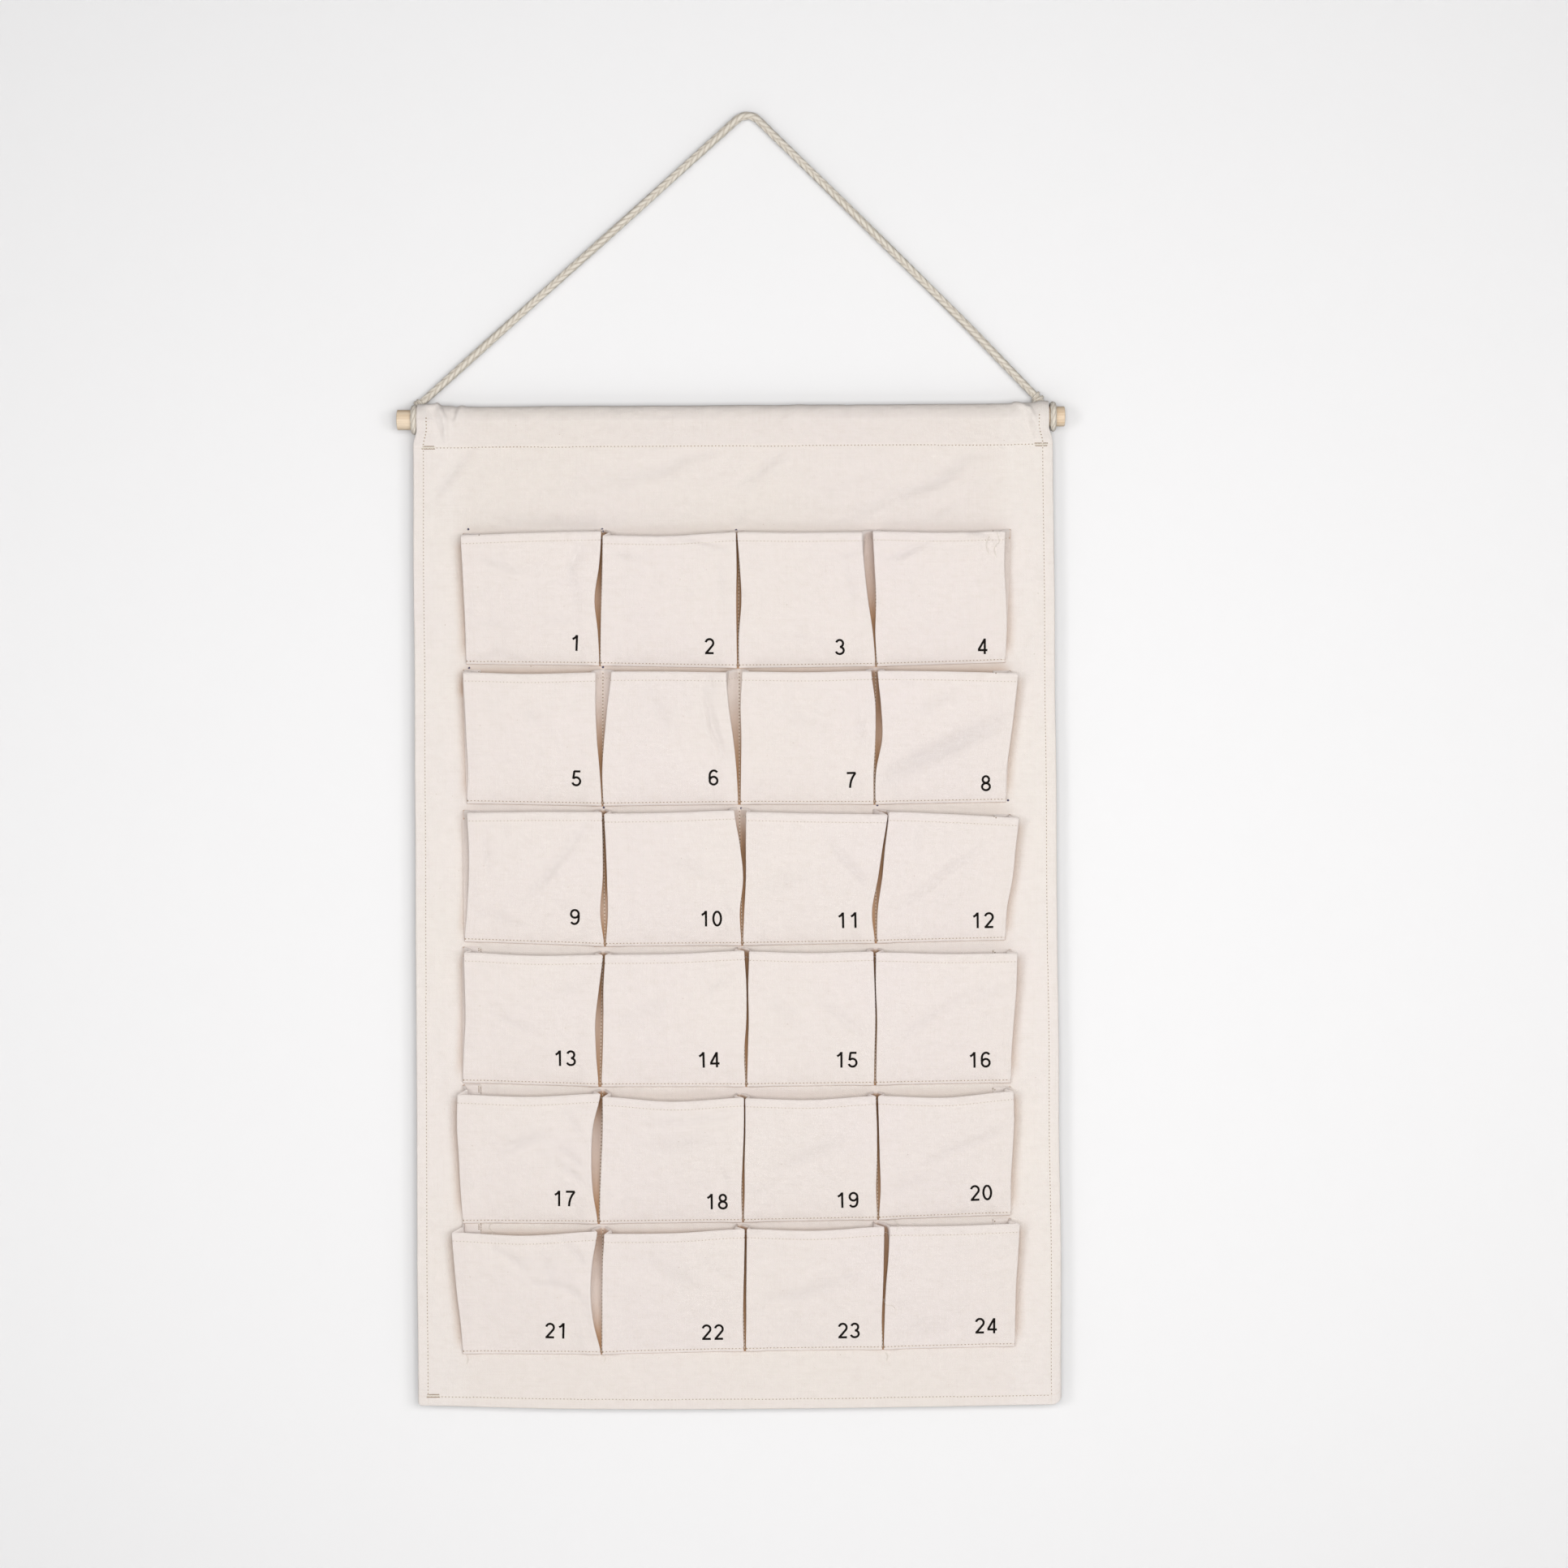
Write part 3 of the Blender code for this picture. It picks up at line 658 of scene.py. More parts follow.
def wood_material():
    """Pale turned wood with its grain along the rod and browner cut ends."""
    finish = Finish("pale_wood")
    place = finish.node("ShaderNodeTexCoord").outputs["Object"]
    grain = finish.cloud(place, 1.0, 3.0, stretch=(9, 420, 420), seed=5.0)
    pores = finish.cloud(place, 1.0, 2.0, stretch=(45, 1900, 1900), seed=8.0)
    bands = finish.cloud(place, 1.0, 2.0, stretch=(3, 95, 95), seed=12.0)
    tone = finish.blend(finish.spread(bands, 0.35, 0.65, 0.0, 1.0), wood_pale, wood_band)
    tone = finish.blend(finish.spread(grain, 0.48, 0.70, 0.0, 0.6), tone, wood_grain)
    tone = finish.blend(finish.spread(pores, 0.62, 0.72, 0.0, 0.5), tone, wood_pore)
    facing = finish.node("ShaderNodeNewGeometry").outputs["Normal"]
    along = finish.node("ShaderNodeSeparateXYZ", {0: facing}).outputs[0]
    cut = finish.spread(finish.sum("ABSOLUTE", along), 0.55, 0.95, 0.0, 0.38)
    tone = finish.blend(cut, tone, wood_end)
    ridges = finish.relief(grain, wood_relief)
    return finish.finish(tone, finish.spread(pores, 0.3, 0.7, 0.46, 0.66), ridges)


# Meshes, with the turn in degrees from which an edge stays sharp

cloth_sharp = 55
tube_sharp = 60
print_sharp = 30


def set_values(mesh, places, shades):
    """Store where each point lies on its flat cloth, in metres, and the shade painted on it in folds and
    hollows.
    """
    layer = mesh.uv_layers.new(name="cloth")
    flat = []
    for loop in mesh.loops:
        flat.extend(places[loop.vertex_index])
    layer.data.foreach_set("uv", flat)
    shade = mesh.attributes.new("fold_shade", "FLOAT", "POINT")
    shade.data.foreach_set("value", shades)


def make_mesh(name, vertices, faces, places=None, shades=None, sharp=cloth_sharp):
    """A smooth mesh that keeps its hard edges."""
    mesh = bpy.data.meshes.new(name)
    mesh.from_pydata(vertices, [], faces)
    if places is not None:
        set_values(mesh, places, shades)
    mesh.shade_smooth()
    mesh.set_sharp_from_angle(angle=math.radians(sharp))
    return mesh


def add_piece(name, mesh, material, body):
    """Put a piece in the scene, on its body and with its finish."""
    piece = bpy.data.objects.new(name, mesh)
    piece.data.materials.append(material)
    bpy.context.scene.collection.objects.link(piece)
    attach(piece, body)
    return piece


def grid_normals(grid):
    """Directions square to a grid of places, on the side that faces out."""
    high, wide = len(grid), len(grid[0])
    normals = []
    for r in range(high):
        line = []
        for c in range(wide):
            along = grid[r][min(c + 1, wide - 1)] - grid[r][max(c - 1, 0)]
            up = grid[min(r + 1, high - 1)][c] - grid[max(r - 1, 0)][c]
            line.append(along.cross(up).normalized())
        normals.append(line)
    return normals


def running_lengths(points):
    """How far along its line each point lies."""
    lengths = [0.0]
    for before, after in zip(points, points[1:]):
        lengths.append(lengths[-1] + (after - before).length)
    return lengths


def sheet_faces(high, wide):
    """Quads of a sheet with two sides, closed round its rim."""
    back = high * wide
    faces = []
    for r in range(high - 1):
        for c in range(wide - 1):
            a = r * wide + c
            faces.append((a, a + 1, a + wide + 1, a + wide))
            faces.append((a + back, a + wide + back, a + wide + 1 + back, a + 1 + back))
    rim = list(range(wide))
    rim += [r * wide + wide - 1 for r in range(1, high)]
    rim += [(high - 1) * wide + c for c in range(wide - 2, -1, -1)]
    rim += [r * wide for r in range(high - 2, 0, -1)]
    for p, q in zip(rim, rim[1:] + rim[:1]):
        faces.append((p, p + back, q + back, q))
    return faces


def cloth_mesh(name, grid, shades, flat_row, flat_column, back_shade=None):
    """A sheet of canvas through a grid of places, with its thickness on both sides."""
    normals = grid_normals(grid)
    across = running_lengths(grid[flat_row])
    upward = running_lengths([line[flat_column] for line in grid])
    vertices, places, painted_shades = [], [], []
    for side in (half_cloth, -half_cloth):
        for r, line in enumerate(grid):
            for c, point in enumerate(line):
                vertices.append(point + normals[r][c] * side)
                places.append((across[c], upward[r]))
                plain = side < 0 and back_shade is not None
                painted_shades.append(back_shade if plain else shades[r][c])
    faces = sheet_faces(len(grid), len(grid[0]))
    return make_mesh(name, vertices, faces, places, painted_shades)


class Tubes:
    """Several round pieces gathered into one mesh, with one or two finishes."""

    def __init__(self):
        self.vertices, self.faces, self.places, self.shades, self.kinds = [], [], [], [], []

    def add(self, rings, places=None, shades=None, closed=False, kind=0):
        """Skin a row of equal rings, capped at both ends unless it closes on itself."""
        start, count = len(self.vertices), len(rings[0])
        for i, ring in enumerate(rings):
            self.vertices.extend(ring)
            self.places.extend(places[i] if places else [])
            self.shades.extend(shades[i] if shades else [])
        spans = len(rings) if closed else len(rings) - 1
        for span in range(spans):
            here = start + span * count
            there = start + (span + 1) % len(rings) * count
            for i in range(count):
                j = (i + 1) % count
                self.faces.append((here + i, here + j, there + j, there + i))
        if not closed:
            last = start + (len(rings) - 1) * count
            self.faces.append(tuple(range(start + count - 1, start - 1, -1)))
            self.faces.append(tuple(range(last, last + count)))
        self.kinds += [kind] * (len(self.faces) - len(self.kinds))

    def mesh(self, name, sharp=tube_sharp):
        """All the pieces as one mesh."""
        mesh = make_mesh(name, self.vertices, self.faces, self.places or None, self.shades, sharp)
        mesh.polygons.foreach_set("material_index", self.kinds)
        return mesh


# Camera, backdrop and light

def make_camera():
    """Square on to the cloth, turned by the small angle of the photograph."""
    lens = bpy.data.cameras.new("camera")
    camera = bpy.data.objects.new("camera", lens)
    bpy.context.scene.collection.objects.link(camera)
    lens.sensor_fit = "HORIZONTAL"
    lens.sensor_width = sensor_size
    lens.lens = sensor_size * camera_distance / (2 * photo_middle * pixel_size)
    camera.location = (camera_x, camera_y, camera_z)
    upright = Matrix.Rotation(math.radians(90), 4, "X")
    camera.rotation_euler = (upright @ Matrix.Rotation(-photo_turn, 4, "Z")).to_euler()
    bpy.context.scene.camera = camera


wall_y = 0.0062
wall_reach = 9.0
wall_top = 3.0
floor_z = -1.35
matt_roughness = 0.9
wall_colour = (0.865, 0.862, 0.868, 1.0)
floor_colour = (0.80, 0.80, 0.80, 1.0)
room_colour = (1.0, 0.995, 0.99, 1.0)
room_strength = 0.20
seen_colour = (0.86, 0.86, 0.865, 1.0)

# Each lamp's place, size in metres, watts and colour
lamps = {
    "front_lamp": ((0.18, -2.40, -0.46), 1.1, 31, (1.0, 0.995, 0.99)),
    "right_lamp": ((1.20, -2.25, -0.46), 0.7, 10, (1.0, 0.995, 0.985)),
    "left_lamp": ((-1.20, -2.25, -0.46), 0.7, 11, (1.0, 0.995, 0.99)),
}


def backdrop_material():
    """Matt paint that only the camera in front of the wall meets, and that takes shadows."""
    finish = Finish("backdrop_paint")
    finish.finish(wall_colour, matt_roughness)
    behind = finish.node("ShaderNodeNewGeometry").outputs["Backfacing"]
    seen = finish.node("ShaderNodeLightPath").outputs["Is Camera Ray"]
    unseen = finish.sum("SUBTRACT", 1.0, seen)
    clear = finish.sum("MAXIMUM", behind, unseen)
    through_it = finish.node("ShaderNodeBsdfTransparent").outputs[0]
    choice = {0: clear, 1: finish.shader.outputs[0], 2: through_it}
    either = finish.node("ShaderNodeMixShader", choice)
    finish.links.new(either.outputs[0], finish.nodes["Material Output"].inputs["Surface"])
    return finish.material


def rectangle(low_x, low_y, high_x, high_y):
    """The corners of a rectangle, in order round it."""
    return [(low_x, low_y), (high_x, low_y), (high_x, high_y), (low_x, high_y)]


def make_stage():
    """The wall that the calendar hangs on, and a floor below it."""
    wide = wall_reach / 2
    wall = [(x, wall_y, z) for x, z in rectangle(-wide, floor_z, wide, wall_top)]
    ground = [(x, y, floor_z) for x, y in rectangle(-wide, -wide, wide, wide)]
    paint = backdrop_material()
    plain = Finish("floor_paint").finish(floor_colour, matt_roughness)
    for name, corners, material in (("wall", wall, paint), ("floor", ground, plain)):
        mesh = bpy.data.meshes.new(name)
        mesh.from_pydata(corners, [], [(0, 1, 2, 3)])
        mesh.materials.append(material)
        surface = bpy.data.objects.new(name, mesh)
        bpy.context.scene.collection.objects.link(surface)


def make_lamp(name, place, target, size, watts, colour):
    """One soft square lamp that faces a point."""
    light = bpy.data.lights.new(name, "AREA")
    light.size = size
    light.energy = watts
    light.color = colour
    lamp = bpy.data.objects.new(name, light)
    bpy.context.scene.collection.objects.link(lamp)
    lamp.location = place
    aim = Vector(target) - Vector(place)
    lamp.rotation_euler = aim.to_track_quat("-Z", "Y").to_euler()


def make_light():
    """One broad soft box over the camera, a weaker one at each side, and a pale room."""
    middle = (camera_x, 0, camera_z)
    for name, (place, size, watts, colour) in lamps.items():
        make_lamp(name, place, middle, size, watts, colour)
    world = bpy.data.worlds.new("room")
    bpy.context.scene.world = world
    world.use_nodes = True
    nodes, links = world.node_tree.nodes, world.node_tree.links
    ambient = nodes["Background"]
    ambient.inputs["Color"].default_value = room_colour
    ambient.inputs["Strength"].default_value = room_strength
    seen = nodes.new("ShaderNodeBackground")
    seen.inputs["Color"].default_value = seen_colour
    path = nodes.new("ShaderNodeLightPath")
    either = nodes.new("ShaderNodeMixShader")
    links.new(path.outputs["Is Camera Ray"], either.inputs[0])
    links.new(ambient.outputs[0], either.inputs[1])
    links.new(seen.outputs[0], either.inputs[2])
    links.new(either.outputs[0], nodes["World Output"].inputs["Surface"])
    bpy.context.scene.view_settings.view_transform = "Standard"


# Cord

cord_radius = cord_diameter / 2
braid_repeat = 0.0068
braid_twist_length = 0.52
loop_room = 0.0003
loop_radius = dowel_radius + loop_room + loop_strand_thickness / 2
loop_turned = 0.6
ring_spacing = 0.0006
ring_sides = 32
route_spacing = 0.0150
route_steps = 4
circle_steps = 72
least_span = 1e-9
bend_share = 0.48

# The braid's form: how round and how deep its strands are, how uneven, and where the shade painted
# between its strands starts and how it deepens
braid_columns = 4
strand_round_power = 0.8
strand_edge_share = 0.35
strand_relief_share = 0.20
strand_middle_share = 0.62
uneven_size = 0.004
uneven_seed = 3
uneven_share = 0.02
end_radius_share = 0.02
crevice_shade_start = 1.25
crevice_shade_power = 1.4

# The knots: strand, two wraps (place along it, lean and radius) and cut tail
knot_strand_back = 0.0050
knot_strand_ahead = 0.0012
knot_strand_share = 0.96
knot_wraps = ((-0.0019, 0.16, 0.00145), (0.0014, -0.12, 0.00135))
knot_wrap_room = 0.0001
tail_back = 0.0010
tail_lengths = (0.0042, 0.0078)
tail_lean_shares = (0.55, -0.50, -0.67)
tail_radius_share = 0.80
neck_bend_radius = 0.0045
neck_bend_steps = 6


def smooth_route(points):
    """A smooth line through the cord's points, as the model draws it."""
    points = [Vector(point) for point in points]
    line = []
    for i in range(len(points) - 1):
        here, there = points[i], points[i + 1]
        before = points[i - 1] if i else here * 2 - there
        after = points[i + 2] if i + 2 < len(points) else there * 2 - here
        span = (there - here).length
        leave = (there - before) * span / (there - before).length
        arrive = (after - here) * span / (after - here).length
        steps = max(1, round(span / route_spacing)) * route_steps
        for step in range(steps):
            t = step / steps
            start_part = here * (2 * t**3 - 3 * t**2 + 1) + leave * (t**3 - 2 * t**2 + t)
            end_part = there * (3 * t**2 - 2 * t**3) + arrive * (t**3 - t**2)
            line.append(start_part + end_part)
    line.append(points[-1])
    return line


def evenly(points, spacing, closed=False):
    """The same line with its points an even distance apart."""
    line = points + points[:1] if closed else points
    lengths = running_lengths(line)
    count = max(2, round(lengths[-1] / spacing))
    spaced, i = [], 0
    for step in range(count if closed else count + 1):
        target = lengths[-1] * step / count
        while i < len(line) - 2 and lengths[i + 1] < target:
            i += 1
        span = max(lengths[i + 1] - lengths[i], least_span)
        spaced.append(mix(line[i], line[i + 1], (target - lengths[i]) / span))
    return spaced


def braid_height(turn, repeats):
    """How high an eight-strand braid stands: 1 on a strand's crest, 0 between strands."""
    place = turn / (2 * math.pi) * braid_columns % braid_columns
    column = int(place)
    across = place - column
    slant = 1 if column % 2 == 0 else -1
    phase = repeats + slant * across + 0.5 * (column % 2)
    crest = abs(math.sin(math.pi * phase)) ** strand_round_power
    return crest * mix(strand_edge_share, 1, math.sin(math.pi * across))


def braid(tubes, path, side, radius, closed=False, turned=0.0, round_ends=False, flat=1.0):
    """A braided tube along a line that lies in one plane; side is square to that plane."""
    points = evenly(path, ring_spacing, closed)
    count = len(points)
    total = running_lengths(points)[-1]
    repeats_in_all = max(1, round(total / braid_repeat)) if closed else total / braid_repeat
    rings, places, shades = [], [], []
    for i, point in enumerate(points):
        after = points[(i + 1) % count] if closed else points[min(i + 1, count - 1)]
        before = points[i - 1] if closed else points[max(i - 1, 0)]
        away = (after - before).normalized().cross(side).normalized()
        along = total * i / (count - 1)
        repeats = repeats_in_all * i / (count if closed else count - 1)
        drift = turned + (0 if closed else 2 * math.pi * along / braid_twist_length)
        ring, place, shade = [], [], []
        end = min(along, total - along) if round_ends else radius
        taper = math.sqrt(max(end_radius_share, 1 - (1 - min(1.0, end / radius)) ** 2))
        for k in range(ring_sides):
            angle = 2 * math.pi * k / ring_sides
            height = braid_height(angle + drift, repeats)
            uneven = rough(point.x + angle * radius, point.z, uneven_size, uneven_seed)
            relief = strand_relief_share * (height - strand_middle_share)
            reach = radius * taper * (1 + relief + uneven * uneven_share)
            ring.append(point + (side * math.cos(angle) + away * math.sin(angle) * flat) * reach)
            place.append((along, angle * radius))
            # Painted shade between the strands, deepest where the braid is lowest
            shade.append((1 - min(1.0, height * crevice_shade_start)) ** crevice_shade_power)
        rings.append(ring)
        places.append(place)
        shades.append(shade)
    tubes.add(rings, places, shades, closed)
    return points


def circle(centre, first, second, radius):
    """Points round a circle in the plane of two directions."""
    turns = [2 * math.pi * step / circle_steps for step in range(circle_steps)]
    return [centre + (first * math.cos(t) + second * math.sin(t)) * radius for t in turns]


def make_knot(name, node, ring_x, inward, knot, strand_end, material):
    """The cord's turn round the dowel, and the small tight knot that holds it."""
    tubes = Tubes()
    forward, backward, upward = Vector((0, -1, 0)), Vector((0, 1, 0)), Vector((0, 0, 1))
    centre = Vector((ring_x, dowel_y, dowel_z))
    turn_line = circle(centre, forward, upward, loop_radius)
    flat = loop_strand_thickness / loop_strand_width
    braid(tubes, turn_line, Vector((1, 0, 0)), loop_strand_width / 2, True, loop_turned, flat=flat)
    if inward < 0:
        make_neck(tubes, ring_x)
    knot = Vector(knot)
    axis = (Vector(strand_end) - knot).normalized()
    over = axis.cross(backward).normalized()
    strand = [knot - axis * knot_strand_back, knot, Vector(strand_end) + axis * knot_strand_ahead]
    braid(tubes, strand, backward, cord_radius * knot_strand_share)
    for shift, lean, thick in knot_wraps:
        tilted = (over + axis * lean).normalized()
        wrap = circle(knot + axis * shift, tilted, backward, cord_radius + knot_wrap_room)
        braid(tubes, wrap, tilted.cross(backward), thick, True)
    tail_x, tail_y, tail_z = tail_lean_shares
    tail_way = Vector((inward * tail_x, tail_y, tail_z)).normalized()
    tail_side = tail_way.cross(upward).normalized()
    start = knot - axis * tail_back
    tail = [start] + [start + tail_way * length for length in tail_lengths]
    braid(tubes, tail, tail_side, cord_radius * tail_radius_share, round_ends=True)
    piece = add_piece(name, tubes.mesh(name), material, "cord")
    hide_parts(node)
    return piece


def make_neck(tubes, ring_x):
    """The strand that runs from the right loop behind the sleeve to its knot."""
    turn = math.radians(neck_turn_degrees)
    out_y, out_z = loop_radius * math.sin(turn), loop_radius * math.cos(turn)
    foot = Vector((ring_x, dowel_y + out_y, dowel_z + out_z))
    bend_place, knot = Vector(neck_bend_place), Vector(right_knot_place)
    line = bend(foot, bend_place, knot, neck_bend_radius, neck_bend_steps)
    braid(tubes, [foot] + line + [knot], Vector((0, 1, 0)), loop_strand_thickness / 2)


def make_cord():
    """The braided cord over its hook and the knots at its ends."""
    material = cord_material()
    left_x = left_loop_low.x + loop_strand_width / 2
    right_x = right_loop_high.x - loop_strand_width / 2
    for side, ring_x, inward, knot, strand_end in (
        ("left", left_x, 1, left_knot_place, cord_route[0]),
        ("right", right_x, -1, right_knot_place, cord_route[-1]),
    ):
        names = (f"{side}_knot_braid", f"{side}_cord_loop")
        make_knot(*names, ring_x, inward, knot, strand_end, material)
    tubes = Tubes()
    line = smooth_route(cord_route)
    centres = braid(tubes, line, Vector((0, 1, 0)), cord_radius)
    cord = add_piece("hanging_cord_braid", tubes.mesh("hanging_cord_braid"), material, "cord")
    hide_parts("hanging_cord")


def make_dowel():
    """The rod keeps its solid and gets the wood."""
    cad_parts["dowel"].material_slots[0].material = wood_material()


# Long cloth: the panel, its hems and the sleeve

# Plies of the hems, and the insets and heights at which the sheet's grid is drawn
measured_row = 20
hem_ply = 0.0008
least_inset = 1e-5
hem_turns = (0.5, 1.1, 1.57, 2.1, 2.7)
hem_columns = (0.0022, 0.0048)
hem_rows = (0.0009, 0.0024, 0.0046)
inner_start = 0.0092
front_row_start = 0.0115
front_row_end = 0.0035
hem_step_start = 0.008
hem_step_reach = 0.006
hem_step_share = 1.2
hem_back_share = 0.8
side_hem_shares = (1, 0.55)
side_turn_share = 1.6
bottom_hem_share = 0.6
bottom_turn_share = 1.8
bottom_turn_back = 0.9
bottom_turn_middle = 1.6
bottom_turn_swing = 0.3
panel_columns = 112
end_columns = 36
end_reach = 0.052
creased_row_height = 0.0031
hidden_row_height = 0.0052
sleeve_side_rows = 16
sleeve_arc_rows = 28
sleeve_tail_drops = (0.0025, 0.0055, 0.0090)
sleeve_end_inset = 0.0032
sleeve_bulge_power = 1.4

# The long cloth's edges, its waves and its rows of stitches
right_edge_drift = 0.0014
edge_wave_size = 0.09
edge_wave = 0.0006
broad_wave_size = 0.17
broad_wave = 0.00065
fine_wave_size = 0.034
fine_wave = 0.00022
wave_fade = 0.03
crease_fade = 0.008
left_corner_radius = 0.0022
right_corner_radius = 0.0065
bottom_sag = (0.0040, 0.0012, 0.0000, 0.0002, 0.0010, 0.0022)
creases_drop = 0.105
creases_end_z = dowel_z - creases_drop
side_stitch_inset = 0.0072
bottom_stitch_rise = 0.0071
sleeve_stitch_drop = 0.0012
groove_half = 0.0008
groove_spare = groove_half / 8
groove_depth = 0.00016
# Painted shade in the small grooves of the rows of stitches
groove_shade = 0.08

# The sleeve: its room round the rod, its doubled ends and where its creases fade
sleeve_room = 0.0010
sleeve_shoulder = 0.0025
sleeve_end_room = 0.0014
sleeve_spare = 0.00025
sleeve_end_reach = 0.030
sleeve_ply_start = 0.002
sleeve_ply_reach = 0.012
sleeve_end_fade = 0.012
sleeve_crease_fade = 0.006
sleeve_hem_fade = 0.004
sleeve_hem_share = 0.8
sleeve_back_way = 0.3
corner_sag_height = 0.16

# Painted shade: a deeper tone on the bare cloth, fading out at the side margins, and shade round the
# mouths, on the sleeve's front and a shadow beside the pockets
middle_shade_tone = 0.045
margin_start = 0.028
margin_end = 0.042
mouth_shade_tones = (0.08, 0.55, 0.09, 0.06, 0.14, 0.40)
sleeve_shade_tone = -0.10
beside_shadow_tone = 0.36
beside_reach = 0.0085
beside_foot_fade_share = 6
beside_mouth_fade_share = 12
mouth_shade_rise = 0.0090
mouth_shade_drop = 0.0140
placed_panel_creases = crease_places(panel_creases, panel_front)

# Unevenness of the sleeve, and how full its folds are
sleeve_fold_fullness = 1.3
sleeve_fold_taper_share = 0.45
sleeve_broad_size = 0.045
sleeve_broad = 0.00030
sleeve_fine_size = 0.014
sleeve_fine = 0.00012

# Raised folds of the sleeve's ends: first and last pixel, half width and height in metres
sleeve_folds = (
    ((525, 504), (538, 502), 0.0018, 0.0016),
    ((538, 502), (547, 516), 0.0018, 0.0022),
    ((547, 516), (549, 542), 0.0017, 0.0018),
    ((532, 510), (541, 534), 0.0018, -0.0012),
    ((561, 502), (555, 521), 0.0015, -0.0016),
    ((568, 502), (562, 522), 0.0020, 0.0012),
    ((595, 504), (599, 515), 0.0014, -0.0008),
    ((1251, 497), (1268, 505), 0.0018, 0.0017),
    ((1268, 505), (1276, 520), 0.0018, 0.0019),
    ((1276, 520), (1278, 540), 0.0018, 0.0013),
    ((1263, 512), (1272, 538), 0.0018, -0.0015),
    ((1283, 500), (1286, 540), 0.0022, 0.0008),
    ((880, 510), (940, 540), 0.0040, -0.0006),
    ((985, 500), (965, 530), 0.0040, 0.0007),
    ((1045, 500), (1060, 530), 0.0035, -0.0007),
)


def panel_wave(x, z):
    """How far the hanging cloth stands forward of flat, in metres."""
    wide = rough(x, z, broad_wave_size, 1) * broad_wave
    fine = rough(x, z, fine_wave_size, 2) * fine_wave
    return (wide + fine) * smooth((seam_z - z) / wave_fade)


def panel_crease(x, z):
    """The creases of the bare cloth above the pockets, in metres."""
    if z < creases_end_z:
        return 0.0
    return crease_lift(x, z, placed_panel_creases) * smooth((seam_z - z) / crease_fade)


def segment_bump(x, z, start, end, width):
    """1 on a line between two places and fading away from it."""
    way = Vector((end.x - start.x, end.z - start.z))
    off = Vector((x - start.x, z - start.z))
    share = min(1.0, max(0.0, off.dot(way) / way.length_squared))
    away = (off - way * share).length / width
    taper = 1 - sleeve_fold_taper_share * abs(2 * share - 1)
    return math.exp(-away * away) * taper


def sleeve_creases(x, z):
    """How far the folds at the sleeve's ends stand off its round."""
    total = rough(x, z, sleeve_broad_size, 11) * sleeve_broad
    total += rough(x, z, sleeve_fine_size, 12) * sleeve_fine
    for start, end, width, height in sleeve_folds:
        first = from_photo(*start, dowel_y - sleeve_radius)
        last = from_photo(*end, dowel_y - sleeve_radius)
        total += segment_bump(x, z, first, last, width) * height * sleeve_fold_fullness
    return total


def across_panel():
    """Each column of the long cloth: its share of the width, and how far it is folded back."""
    fold = hem_roll_radius
    hem = [(side_hem * share, 1.0) for share in side_hem_shares] + [(fold * side_turn_share, 1.0)]
    turned = [(fold * (1 - math.sin(t)), (1 + math.cos(t)) / 2) for t in hem_turns]
    near = [fold * 2, *hem_columns] + groove_lines(side_stitch_inset)
    near += [mix(inner_start, end_reach, i / end_columns) for i in range(end_columns)]
    width = panel_right - panel_left
    between = [mix(end_reach, width - end_reach, i / panel_columns) for i in range(panel_columns + 1)]
    left = hem + turned + [(inset, 0.0) for inset in near]
    right = [(width - inset, back) for inset, back in reversed(left)]
    return left + [(inset, 0.0) for inset in between] + right


def side_edges(z):
    """Where the cloth's left and right edges hang at a height."""
    fall = min(1.0, max(0.0, (seam_z - z) / (seam_z - panel_bottom)))
    rise = smooth((z - seam_z) / (dowel_z - dowel_radius - seam_z))
    left = panel_left + sleeve_end_inset * rise + rough(0, z, edge_wave_size, 5) * edge_wave
    right = panel_right + right_edge_drift * (2 * fall - 1) - sleeve_end_inset * rise
    return left, right + rough(1, z, edge_wave_size, 6) * edge_wave


def bottom_rise(inset_left, inset_right):
    """How far the lower edge stands above the lowest point, with its two round corners."""
    share = inset_left / (inset_left + inset_right)
    rise = through(bottom_sag, share)
    for radius, inset in ((left_corner_radius, inset_left), (right_corner_radius, inset_right)):
        if inset < radius:
            rise += radius - math.sqrt(radius**2 - (radius - inset) ** 2)
    return rise


def bottom_hem_rows():
    """Rows of the lower hem: height above the edge, distance behind the front, hem offset."""
    fold = hem_roll_radius
    rows_here = [(side_hem * share, hem_ply, hem_back_share) for share in (1, bottom_hem_share)]
    rows_here.append((fold * bottom_turn_share, hem_ply, bottom_turn_back))
    for turn in hem_turns:
        back = hem_ply * (1 + math.cos(turn)) / 2
        hem_back = bottom_turn_middle - bottom_turn_swing * math.cos(turn)
        rows_here.append((fold * (1 - math.sin(turn)), back, hem_back))
    return rows_here


def groove_lines(place):
    """Three lines of the cloth's grid that make the small groove of a row of stitches."""
    return [place + step * groove_half for step in (-1, 0, 1)]


def in_groove(inset, width, height):
    """Whether a place on the hanging cloth lies on a row of stitches."""
    places = (min(inset, width - inset) - side_stitch_inset, height - bottom_stitch_rise,
              height - (seam_z - panel_bottom - sleeve_stitch_drop))
    return min(abs(place) for place in places) < groove_spare


def sag_share(height):
    """How much of the lower edge's shape the cloth still has at a height above it."""
    return max(0.0, 1 - height / corner_sag_height) ** 2


def front_row_heights():
    """Heights above the lower edge at which the hanging cloth's front is drawn."""
    end = seam_z - panel_bottom
    near = [*hem_rows] + groove_lines(bottom_stitch_rise) + [inner_start]
    low, middle, high = front_row_start, creases_end_z - panel_bottom, end - front_row_end
    hidden_rows = round((middle - low) / hidden_row_height)
    creased_rows = round((high - middle) / creased_row_height)
    between = [mix(low, middle, i / hidden_rows) for i in range(hidden_rows)]
    between += [mix(middle, high, i / creased_rows) for i in range(creased_rows + 1)]
    return near + between + groove_lines(end - sleeve_stitch_drop)


